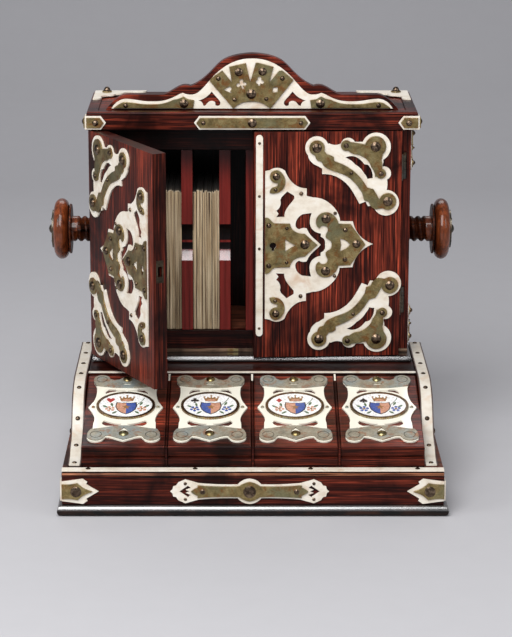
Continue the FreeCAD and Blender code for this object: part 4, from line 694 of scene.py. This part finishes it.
def wheel_profile(radius):
    """The knob in (along, radius): its flange, its round rim and its flat face."""
    middle, half = (KNOB_START + KNOB_REACH) / 2.0, (KNOB_REACH - KNOB_START) / 2.0
    flange = [(FLANGE_START, 0.0), (FLANGE_START, FLANGE_RADIUS - FLANGE_EDGE),
              (FLANGE_START + FLANGE_EDGE, FLANGE_RADIUS),
              (KNOB_START - 0.5 * MM, FLANGE_RADIUS),
              (KNOB_START, FLANGE_RADIUS - 1.6 * MM)]
    angles = [math.pi * step / RIM_STEPS for step in range(RIM_STEPS + 1)]
    rim = [(middle - half * math.cos(angle),
            RIM_MIDDLE + (radius - RIM_MIDDLE) * math.sin(angle)) for angle in angles]
    return [*flange, *rim, (KNOB_REACH, FACE_RADIUS), (KNOB_REACH, 0.0)]


def screw_profile():
    """The screw in (along, radius): a wave of one thread pitch that fades into the neck."""
    reach = KNOB_START + SCREW_OVERLAP - SCREW_START
    profile = []
    for step in range(SCREW_STEPS + 1):
        along = reach * step / SCREW_STEPS
        groove = (0.5 - 0.5 * math.cos(math.tau * along / THREAD_PITCH)) ** THREAD_SHAPE
        fade = min(1.0, max(0.0, (NECK_START - along) / THREAD_FADE))
        profile.append((SCREW_START + along, SCREW_RADIUS - THREAD_DEPTH * groove * fade))
    return profile


class CARDBOX_OT_turn_knobs(bpy.types.Operator):
    """Turn the round-rimmed press knobs and their threaded screws"""

    bl_idname = "card_box.turn_knobs"
    bl_label = "Turn press knobs"

    def execute(self, context):
        amber = context.scene.card_box_wood.knob
        wood = rosewood("knob_wood", "z", [tone(amber, depth) for depth in (0.1, 0.36, 0.66)],
                        0.3, 0.46, 0.3, KNOB_POLISH)
        shaft = rosewood("screw_wood", "x",
                         [tone(amber, depth) for depth in (0.08, 0.2, 0.36)], 0.3)
        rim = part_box("press_screw_left")
        for side, turn in zip(SIDES, (math.pi, 0.0)):
            node = f"press_screw_{side}"
            low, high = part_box(node)
            foot = high.x if side == "left" else low.x
            knob = bmesh.new()
            turned(knob, wheel_profile((rim[1].z - rim[0].z) / 2.0), 56)
            turned(knob, screw_profile(), 40, THREAD_PITCH)
            bmesh.ops.remove_doubles(knob, verts=knob.verts[:], dist=0.004 * MM)
            bmesh.ops.holes_fill(knob, edges=[edge for edge in knob.edges if edge.is_boundary])
            middle = (foot, (low.y + high.y) / 2.0, (low.z + high.z) / 2.0)
            bmesh.ops.transform(knob, matrix=placed(middle, turn, "Z"), verts=knob.verts[:])
            piece = finished(knob, f"press_knob_{side}", f"{side}_screw", wood)
            piece.data.materials.append(shaft)

            def is_shaft(polygon):
                out = abs(polygon.center.x - foot)
                threaded = out < NECK_START + 3.0 * MM
                flange = FLANGE_START - 0.1 * MM < out < KNOB_START - 0.4 * MM
                return int(threaded or flange)

            pick_by_face(piece.data, is_shaft)
            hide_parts(node)
        return {"FINISHED"}


# ---- mounts and metal

IVORY_NODES = ("case_ivory", "door_left_ivory", "door_right_ivory", "drawer_ivory")
BRASS_NODES = ("case_brass", "door_left_brass", "door_right_brass", "drawer_brass",
               "strip_studs")
METAL_NODES = ("lock_case", "lock_bolt", "hinge_fixed", "hinge_leaves_left",
               "hinge_leaves_right", "screw_cap_left", "screw_cap_right")
HINGE_TONES = ((0.05, 0.042, 0.034), (0.12, 0.1, 0.075), (0.24, 0.205, 0.15))
STRIKE_TONES = ((0.03, 0.024, 0.018), (0.07, 0.055, 0.04), (0.16, 0.125, 0.08))
# light wood of the drawer's bead: a painted highlight
BEAD_HIGHLIGHT_TONES = ((0.1, 0.035, 0.018), (0.3, 0.12, 0.06), (0.46, 0.22, 0.12))
KEYHOLE_BLACK = (0.006, 0.004, 0.004)

WING_STUDS = tuple(along * MM for along in (-33.0, -51.0, -69.0, -86.5))
STRIP_BORDER = 0.41
NARROW_STRIP = 3.0 * MM
CATCH_SPOT = (-12.3 * MM, 69.1 * MM)
CATCH_HALF = (3.5 * MM, 0.9 * MM)
CAP_LENGTH = 8.0 * MM
CAP_HALF = 0.6 * MM
BEAD_RADIUS = 0.9 * MM
BEAD_INSET = 0.2 * MM
KEYHOLE = (12.75 * MM, 16.18 * MM, 142.6 * MM)
KEYHOLE_OUTLINE = both_sides([(0.0, 2.3), (1.2, 1.95), (2.05, 1.1), (2.3, 0.0), (2.05, -1.1),
                              (1.0, -1.9), (0.85, -3.7), (0.0, -3.9)])


def brass_tones(colours):
    """The three tones of the brass plates, from dark to bright."""
    return tuple(colours.brass_dark), tuple(colours.brass_middle), tuple(colours.brass_bright)


class CARDBOX_OT_finish_mounts(bpy.types.Operator):
    """Give bone, brass and bronze to the mounts of the case, doors, drawer and strips"""

    bl_idname = "card_box.finish_mounts"
    bl_label = "Finish mounts"

    def execute(self, context):
        ivory = bone("bone")
        dress(IVORY_NODES, ivory)
        self.finish_strips(ivory)
        brass = gilt_brass("mount_brass", brass_tones(context.scene.card_box_mounts))
        stud = bronze_stud()
        for node in BRASS_NODES:
            dress_by_solid(node, (brass, stud), lambda low, high: int(is_stud(low, high)))
        dress(METAL_NODES, gilt_brass("hinge_metal", HINGE_TONES, 0.34))
        dress(["strike_plate"], gilt_brass("strike_metal", STRIKE_TONES, 0.4))
        self.set_wing_studs(stud)
        self.set_roof_studs(stud)
        self.set_small_mounts(brass, ivory)
        self.set_keyhole()
        self.set_bead()
        return {"FINISHED"}

    @staticmethod
    def finish_strips(ivory):
        """Bone strips; those on the wings have wooden edges, and the narrowest are wood."""
        inner, outer = (corner.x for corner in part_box("wing_right"))
        wide = outer - inner
        # the wing strips' bone is darkened to 0.82: painted shade on their upward faces
        wing = bone("wing_bone", 0.82, ((inner + outer) / 2.0, STRIP_BORDER * wide))

        def strip_finish(low, high):
            if min(abs(low.x), abs(high.x)) > 0.9 * inner and high.x - low.x < 2.0 * wide:
                return 1
            return 2 if high.x - low.x < NARROW_STRIP else 0

        dress_by_solid("ivory_strips", (ivory, wing, bpy.data.materials["box_wood"]),
                       strip_finish)

    @staticmethod
    def set_wing_studs(finish):
        """Dome studs down the curved fronts of the two wings, square to the strip."""
        mesh = NODES["ivory_strips"].data
        strip = BVHTree.FromPolygons([vertex.co for vertex in mesh.vertices],
                                     [tuple(polygon.vertices) for polygon in mesh.polygons])
        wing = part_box("wing_right")
        middle = (wing[0].x + wing[1].x) / 2.0
        domes = bmesh.new()
        for side in (-1.0, 1.0):
            for along in WING_STUDS:
                above = Vector((side * middle, along, 0.2))
                spot, normal = strip.ray_cast(above, -UP)[:2]
                turn = normal.to_track_quat("Z", "Y").to_matrix().to_4x4()
                dome(domes, 1.5 * MM, 0.83 * MM, Matrix.Translation(spot) @ turn)
        finished(domes, "wing_studs", "carcass", finish)

    @staticmethod
    def set_roof_studs(finish):
        """Tall dome studs on the corner mounts of the roof, each on a washer."""
        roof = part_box("roof_panel")[1].z
        domes = bmesh.new()
        for polygons, low, high in islands(NODES["case_brass"].data):
            upright = low.z > roof - 1.0 * MM and high.z - low.z < 0.7 * (high.y - low.y)
            if is_stud(low, high) and upright:
                radius = (high.x - low.x) / 2.0
                spot = placed(((low.x + high.x) / 2.0, (low.y + high.y) / 2.0, low.z))
                dome(domes, 1.12 * radius, 0.35 * radius, spot)
                dome(domes, 0.88 * radius, 1.15 * radius, spot)
        finished(domes, "roof_studs", "carcass", finish)

    @staticmethod
    def set_small_mounts(brass, ivory):
        """The catch plate under the doors, and the caps on the dividers of the boxes."""
        plate = bmesh.new()
        spot = (CATCH_SPOT[0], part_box("case_base")[0].y, CATCH_SPOT[1])
        across, up = CATCH_HALF
        raised_shape(plate, oblong(-across, across, -up, up), 0.09 * MM,
                     placed(spot, math.pi / 2.0), 0.03 * MM)
        finished(plate, "catch_plate", "carcass", brass, smooth=False)
        caps = bmesh.new()
        low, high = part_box("tray_dividers")
        for x in (CAP_HALF + low.x, 0.0, high.x - CAP_HALF):
            raised_shape(caps, oblong(-CAP_HALF, CAP_HALF, -CAP_LENGTH, 0.0), 0.3 * MM,
                         placed((x, high.y, high.z), LID_SLOPE), 0.1 * MM)
        finished(caps, "divider_caps", "carcass", ivory, smooth=False)

    @staticmethod
    def set_keyhole():
        """Painted shade for the keyhole on the right-hand door: a black shape that lies flat on
        it, for the dark inside the hole.
        """
        outward = broad_side("door_right_panel")
        outward = outward if outward.y < 0.0 else -outward
        facing = Matrix((UP.cross(outward), UP, outward)).transposed().to_4x4()
        place = Matrix.Translation(Vector(KEYHOLE) + 0.05 * MM * outward) @ facing
        keyhole = bmesh.new()
        raised_shape(keyhole, [(x * MM, y * MM) for x, y in KEYHOLE_OUTLINE], 0.3 * MM, place,
                     0.08 * MM)
        finished(keyhole, "keyhole_shade", "right_door",
                 lacquer("keyhole_black", KEYHOLE_BLACK, 0.05), smooth=False)

    @staticmethod
    def set_bead():
        """The round bead along the top of the drawer's front; its light wood is a painted
        highlight on that edge.
        """
        low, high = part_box("drawer_front")
        spot = (low.x + BEAD_INSET, low.y, high.z - BEAD_RADIUS)
        bead = bmesh.new()
        raised_shape(bead, ring_of(12, BEAD_RADIUS), high.x - low.x - 2.0 * BEAD_INSET,
                     placed(spot, math.pi / 2.0, "Y"), 0.2 * MM)
        finished(bead, "drawer_bead", "drawer",
                 rosewood("bead_highlight_wood", "x", BEAD_HIGHLIGHT_TONES, 0.2))


# ---- lids

BEZEL_LENGTH = 36.6 * MM
# in millimetres, across the lid, up its slope and square to it
BEZEL_HALF = (18.4, 15.4)
PLAQUE_HALF = (16.6, 13.5)
BEZEL_FOOT = -0.64
BAND_TOP = 0.83
BONE, BAND, STUD, BEZEL, PORCELAIN = range(5)
BEZEL_TONES = ((0.12, 0.075, 0.04), (0.25, 0.165, 0.095), (0.42, 0.3, 0.18))


def lid_plane(index):
    """The place of a lid's plaque: its centre, with Z square to the lid."""
    for polygons, low, high in islands(NODES[f"lid_mounts_{index}"].data):
        if abs(high.x - low.x - BEZEL_LENGTH) < 0.3 * MM:
            return placed((low + high) / 2.0, LID_SLOPE)
    raise RuntimeError(f"lid {index} has no bezel")


def reach_out(spot, half):
    """How far out a spot lies in an oval; 1 is on its edge."""
    return (spot.x / half[0]) ** 2 + (spot.y / half[1]) ** 2


class CARDBOX_OT_finish_lids(bpy.types.Operator):
    """Give bone, brass, bezel and porcelain to the mounts of the four lids"""

    bl_idname = "card_box.finish_lids"
    bl_label = "Finish lid mounts"

    def execute(self, context):
        colours = context.scene.card_box_mounts
        grey = tuple(colours.band)
        finishes = (
            bpy.data.materials["bone"],
            gilt_brass("band_brass", (tone(grey, 0.62), grey, tone(grey, 1.25)), 0.42, 0.35),
            gilt_brass("stud_brass", brass_tones(colours), 0.26),
            gilt_brass("bezel_bronze", BEZEL_TONES, 0.32),
            painted("porcelain", tuple(context.scene.card_box_plaques.porcelain), 0.16),
        )
        for index in LIDS:
            to_lid = lid_plane(index).inverted()

            def mount_finish(polygon):
                spot = to_lid @ polygon.center / MM
                height = spot.z - BEZEL_FOOT
                if reach_out(spot, PLAQUE_HALF) < 0.995 and height > 0.02:
                    return PORCELAIN
                if reach_out(spot, BEZEL_HALF) < 1.0 and height > 0.01:
                    return BEZEL
                if height > BAND_TOP:
                    return STUD
                return BAND if height > 0.02 else BONE

            dress_by_face(f"lid_mounts_{index}", finishes, mount_finish)
        return {"FINISHED"}


# ---- card packs

LEAF_THICKNESSES = (0.55, 0.8, 1.1, 1.7)
LEAF_DROPS = (0.0, 0.5, 0.9, 1.2, 1.6)
LEAF_SETBACK = 1.3
LEAF_GAP = 0.06 * MM
WIDE_GAP = 0.35 * MM
WIDE_GAP_CHANCE = 0.14


class CARDBOX_OT_finish_cards(bpy.types.Operator):
    """Lay out each pack in the press as leaves of uneven height"""

    bl_idname = "card_box.finish_cards"
    bl_label = "Finish card packs"

    def execute(self, context):
        paper, tops = card_edges(), card_tops()
        chance = random.Random(7)
        for side in SIDES:
            node = f"card_packs_{side}"
            leaves = bmesh.new()
            for polygons, low, high in islands(NODES[node].data):
                self.lay_pack(leaves, low, high, chance)
            piece = finished(leaves, f"card_leaves_{side}", f"{side}_press",
                             paper, smooth=False)
            piece.data.materials.append(tops)
            pick_by_face(piece.data, lambda polygon: int(polygon.normal.z > 0.5))
            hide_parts(node)
        return {"FINISHED"}

    @staticmethod
    def lay_pack(leaves, low, high, chance):
        """One pack: leaves side by side, each set back and let down a little unevenly."""
        across = low.x
        while across < high.x - 0.5 * MM:
            thick = min(chance.choice(LEAF_THICKNESSES) * MM, high.x - across)
            drop = chance.choice(LEAF_DROPS) * MM
            back = chance.uniform(0.0, LEAF_SETBACK) * MM
            corner = Vector((across + LEAF_GAP, low.y + back, low.z))
            size = Vector((thick - 2.0 * LEAF_GAP, high.y - low.y - back, high.z - low.z - drop))
            cube = bmesh.ops.create_cube(leaves, size=1.0)["verts"]
            place = Matrix.Translation(corner + size / 2.0) @ Matrix.Diagonal((*size, 1.0))
            bmesh.ops.transform(leaves, matrix=place, verts=cube)
            across += thick + (WIDE_GAP if chance.random() < WIDE_GAP_CHANCE else 0.0)


# ---- painted plaques

# outlines about one unit high and wide to each side of their middle
HEART = both_sides([
    (0.0, 0.55), (0.25, 0.88), (0.58, 0.98), (0.88, 0.78), (0.95, 0.4), (0.72, -0.05),
    (0.36, -0.55), (0.0, -1.0)])
SPADE = both_sides([
    (0.0, 1.0), (0.3, 0.55), (0.72, 0.1), (0.95, -0.28), (0.86, -0.6), (0.52, -0.72),
    (0.2, -0.52), (0.16, -0.75), (0.34, -1.0)])
DIAMOND = both_sides([(0.0, 1.0), (0.3, 0.48), (0.72, 0.0), (0.3, -0.48), (0.0, -1.0)])
CLUB = both_sides([
    (0.0, 1.0), (0.3, 0.9), (0.44, 0.62), (0.3, 0.28), (0.6, 0.32), (0.9, 0.12), (0.95, -0.2),
    (0.76, -0.48), (0.42, -0.5), (0.18, -0.28), (0.16, -0.72), (0.34, -1.0)])
CROWN = both_sides([
    (0.0, 0.95), (0.16, 0.3), (0.52, 0.72), (0.6, 0.14), (1.0, 0.45), (0.8, -0.62),
    (0.42, -0.7), (0.0, -0.73)])
CAP = both_sides([(0.0, 0.35), (0.5, 0.28), (0.85, 0.0), (0.8, -0.35), (0.0, -0.42)])
RIGHT_HALF = [(0.0, 0.92), (0.4, 0.86), (0.86, 1.0), (0.95, 0.35), (0.8, -0.25),
              (0.42, -0.75), (0.0, -1.0)]
LEFT_HALF = [(-x, y) for x, y in RIGHT_HALF]
SHIELD = both_sides(RIGHT_HALF)
LEAF = curve_of(both_sides([(0.0, 1.0), (0.34, 0.42), (0.3, -0.28), (0.0, -1.0)]))
PETAL = curve_of(both_sides([(0.0, 1.0), (0.62, 0.66), (0.48, 0.1), (0.0, -0.3)]))
STEM = curve_of([(0.0, 1.0), (0.09, 0.2), (0.02, -1.0), (-0.06, -1.0), (0.0, 0.2), (-0.08, 1.0)])
STAR = [((1.0, 0.42)[step % 2] * math.sin(math.pi * step / 5),
         (1.0, 0.42)[step % 2] * math.cos(math.pi * step / 5)) for step in range(10)]
SUITS = (HEART, CLUB, DIAMOND, SPADE)

# places on a plaque in millimetres, from its middle
PIP_SPOT = (-9.6, 5.6)
CROWN_BALLS = ((-3.7, 9.6), (0.6, 11.2), (4.9, 9.6))
SHIELD_SPOT = (0.4, -3.6)
FLOWER_SPOTS = ((-9.6, -4.4), (10.2, -4.2))
LEAF_SPOTS = ((-12.6, -1.6, 0.9), (-6.7, -8.6, 2.3), (7.2, -8.4, 3.9), (13.0, -1.2, 5.4),
              (9.6, 1.6, 5.9), (-8.6, 0.4, 0.2))
PLAQUE_RISE = 0.3 * MM
ENAMELS = {
    "black": (0.022, 0.017, 0.016),
    "gold": (0.3, 0.15, 0.055),
    "rose": (0.58, 0.29, 0.19),
    "green": (0.09, 0.15, 0.075),
}


class CARDBOX_OT_paint_plaques(bpy.types.Operator):
    """Paint a suit pip, a crown, a shield and two flowers on each porcelain plaque"""

    bl_idname = "card_box.paint_plaques"
    bl_label = "Paint plaques"

    def execute(self, context):
        colours = context.scene.card_box_plaques
        thick = colours.paint_thickness
        pip = colours.pip_height / 2.0
        enamels = {"red": tuple(colours.red), "blue": tuple(colours.blue), **ENAMELS}
        red, blue, black, gold, rose, green = (
            painted(f"enamel_{name}", colour) for name, colour in enamels.items())
        for index in LIDS:
            face = lid_plane(index) @ Matrix.Translation((0.0, 0.0, PLAQUE_RISE))
            odd = index % 2

            def at(x, y, size, turn=0.0, wide=1.0):
                return (face @ placed((x * MM, y * MM, 0.0), turn, "Z")
                        @ Matrix.Diagonal((size * MM * wide, size * MM, 1.0, 1.0)))

            def paint(name, finish, *shapes, level=thick):
                layer = bmesh.new()
                for outline, place in shapes:
                    raised_shape(layer, outline, level, place)
                finished(layer, f"plaque_{name}_{index}", f"lid_{index}", finish)

            def petals(x, y):
                for turn in (math.tau * step / 5.0 + 0.3 * index for step in range(5)):
                    yield PETAL, at(x - 1.5 * math.sin(turn), y + 1.5 * math.cos(turn), 1.6, turn)

            paint("pip", red if odd else black, (SUITS[index - 1], at(*PIP_SPOT, pip / MM)))
            paint("crown", gold, (CROWN, at(0.6, 7.2, 3.9, 0.0, 1.2)),
                  *((ring_of(10, 1.0), at(*spot, 0.7)) for spot in CROWN_BALLS))
            paint("crown_lining", rose, (CAP, at(0.6, 5.9, 2.7, 0.0, 1.25)), level=1.4 * thick)
            paint("shield_edge", black, (SHIELD, at(*SHIELD_SPOT, 7.2)), level=0.6 * thick)
            blue_half, rose_half = (RIGHT_HALF, LEFT_HALF) if odd else (LEFT_HALF, RIGHT_HALF)
            paint("shield_blue", blue, (blue_half, at(*SHIELD_SPOT, 6.5)))
            paint("shield_rose", rose, (rose_half, at(*SHIELD_SPOT, 6.5)))
            paint("shield_star", gold, (STAR, at(0.4, -2.4, 2.9)), level=1.5 * thick)
            paint("flowers", rose if odd else blue,
                  *(petal for spot in FLOWER_SPOTS for petal in petals(*spot)))
            paint("flower_hearts", gold,
                  *((ring_of(12, 1.0), at(*spot, 0.8)) for spot in FLOWER_SPOTS),
                  level=1.5 * thick)
            paint("leaves", green, *((LEAF, at(x, y, 2.1, turn)) for x, y, turn in LEAF_SPOTS))
            paint("stem", green, (STEM, at(9.6, 4.6, 4.4, -0.5)))
        return {"FINISHED"}


# ---- stage

SWEEP_FRONT = -2.4
SWEEP_HALF_WIDTH = 2.6
SWEEP_STEPS = ((0.0, 3.3, 0.0), (0.0, 0.25, 0.06), (0.0, 0.2, 0.16), (0.0, 0.1, 0.3),
               (0.0, 0.0, 2.4))
# along Y, where the paper's painted shade runs from the floor's colour to the darker backdrop's
SWEEP_FADE = (-0.1, 1.9)
# each lamp's power and its share of it, where it stands, where it aims and its size
LAMPS = {
    "lamp_main": ("key_power", 1.0, (-0.28, -0.95, 1.15), (0.0, 0.0, 0.12), (0.95, 1.15)),
    "lamp_left": ("fill_power", 0.9, (-1.3, -0.7, 0.8), (0.0, 0.0, 0.1), (0.5, 0.7)),
    "lamp_right": ("fill_power", 0.6, (1.35, -0.75, 0.8), (0.0, 0.0, 0.12), (0.5, 0.8)),
    "lamp_behind": ("top_power", 1.0, (0.0, 1.2, 1.3), (0.0, 0.05, 0.2), (1.2, 0.6)),
}
AIR_COLOUR = (0.92, 0.94, 1.0, 1.0)
AIR_STRENGTH = 0.28
CAMERA_PLACE = (-0.01034, -1.48428, 0.48453)
CAMERA_DOWN = 0.2545356
CAMERA_LENS = 135.86
CAMERA_SENSOR = 36.0
CAMERA_SHIFT = 0.0316


class CARDBOX_OT_build_stage(bpy.types.Operator):
    """Lay the floor and backdrop, and set up the lamps and the camera"""

    bl_idname = "card_box.build_stage"
    bl_label = "Build stage"

    def execute(self, context):
        scene, settings = context.scene, context.scene.card_box_stage
        self.lay_sweep(settings)
        for name, (power, share, place, aim, size) in LAMPS.items():
            light = bpy.data.lights.new(name, "AREA")
            light.shape = "RECTANGLE"
            light.size, light.size_y = size
            light.energy = share * getattr(settings, power)
            lamp = bpy.data.objects.new(name, light)
            lamp.location = place
            toward = Vector(aim) - Vector(place)
            lamp.rotation_euler = toward.to_track_quat("-Z", "Y").to_euler()
            scene.collection.objects.link(lamp)
        world = bpy.data.worlds.new("studio_air")
        world.use_nodes = True
        background = world.node_tree.nodes["Background"]
        background.inputs["Color"].default_value = AIR_COLOUR
        background.inputs["Strength"].default_value = AIR_STRENGTH
        scene.world = world

        lens = bpy.data.cameras.new("camera")
        lens.sensor_width = CAMERA_SENSOR
        lens.lens = CAMERA_LENS
        lens.shift_x = CAMERA_SHIFT
        camera = bpy.data.objects.new("camera", lens)
        camera.location = CAMERA_PLACE
        camera.rotation_euler = (math.pi / 2.0 - CAMERA_DOWN, 0.0, 0.0)
        scene.collection.objects.link(camera)
        scene.camera = camera
        scene.view_settings.view_transform = "Standard"
        return {"FINISHED"}

    @staticmethod
    def lay_sweep(settings):
        """A sheet that lies on the ground and curves up into the backdrop."""
        sweep = bmesh.new()
        edge = sweep.edges.new([sweep.verts.new((side * SWEEP_HALF_WIDTH, SWEEP_FRONT, 0.0))
                                for side in (-1.0, 1.0)])
        for step in SWEEP_STEPS:
            grown = bmesh.ops.extrude_edge_only(sweep, edges=[edge])["geom"]
            ahead = [item for item in grown if isinstance(item, bmesh.types.BMVert)]
            bmesh.ops.translate(sweep, vec=step, verts=ahead)
            edge = sweep.edges.get(ahead)
        look = Shader("studio_paper")
        # painted shade: the paper darkens from the floor up to the backdrop
        height = look.spread(look.along("Y"), 0.0, 1.0, SWEEP_FADE)
        value = look.ramp(height, (0.0, settings.floor), (1.0, settings.backdrop))
        fibre = look.ramp(look.noise(60.0, 4.0), (0.3, 0.985), (0.7, 1.0))
        paper = look.finish(look.shaded(value, fibre, 1.0), 0.75)
        object_from(sweep, "studio_sweep", paper)


# ---- panel and running

SETTINGS = {
    "card_box_wood": ("Woods", CardBoxWoodSettings),
    "card_box_mounts": ("Mounts", CardBoxMountSettings),
    "card_box_plaques": ("Plaques", CardBoxPlaqueSettings),
    "card_box_stage": ("Stage", CardBoxStageSettings),
}
OPERATORS = (
    CARDBOX_OT_build_stage,
    CARDBOX_OT_finish_woods,
    CARDBOX_OT_turn_knobs,
    CARDBOX_OT_finish_mounts,
    CARDBOX_OT_finish_lids,
    CARDBOX_OT_finish_cards,
    CARDBOX_OT_paint_plaques,
)


class CARDBOX_PT_panel(bpy.types.Panel):
    bl_idname = "CARDBOX_PT_panel"
    bl_label = "Card box"
    bl_space_type = "VIEW_3D"
    bl_region_type = "UI"
    bl_category = "Card Box"

    def draw(self, context):
        layout = self.layout
        for group, (title, kind) in SETTINGS.items():
            layout.label(text=title)
            for name in kind.__annotations__:
                layout.prop(getattr(context.scene, group), name)
        for operator in OPERATORS:
            layout.operator(operator.bl_idname)


CLASSES = (*(kind for title, kind in SETTINGS.values()), *OPERATORS, CARDBOX_PT_panel)


def register():
    for item in CLASSES:
        bpy.utils.register_class(item)
    for name, (title, kind) in SETTINGS.items():
        setattr(bpy.types.Scene, name, PointerProperty(type=kind))


def unregister():
    for name in SETTINGS:
        delattr(bpy.types.Scene, name)
    for item in reversed(CLASSES):
        bpy.utils.unregister_class(item)


def main():
    register()
    for operator in OPERATORS:
        group, name = operator.bl_idname.split(".")
        getattr(getattr(bpy.ops, group), name)()


if __name__ == "__main__":
    main()
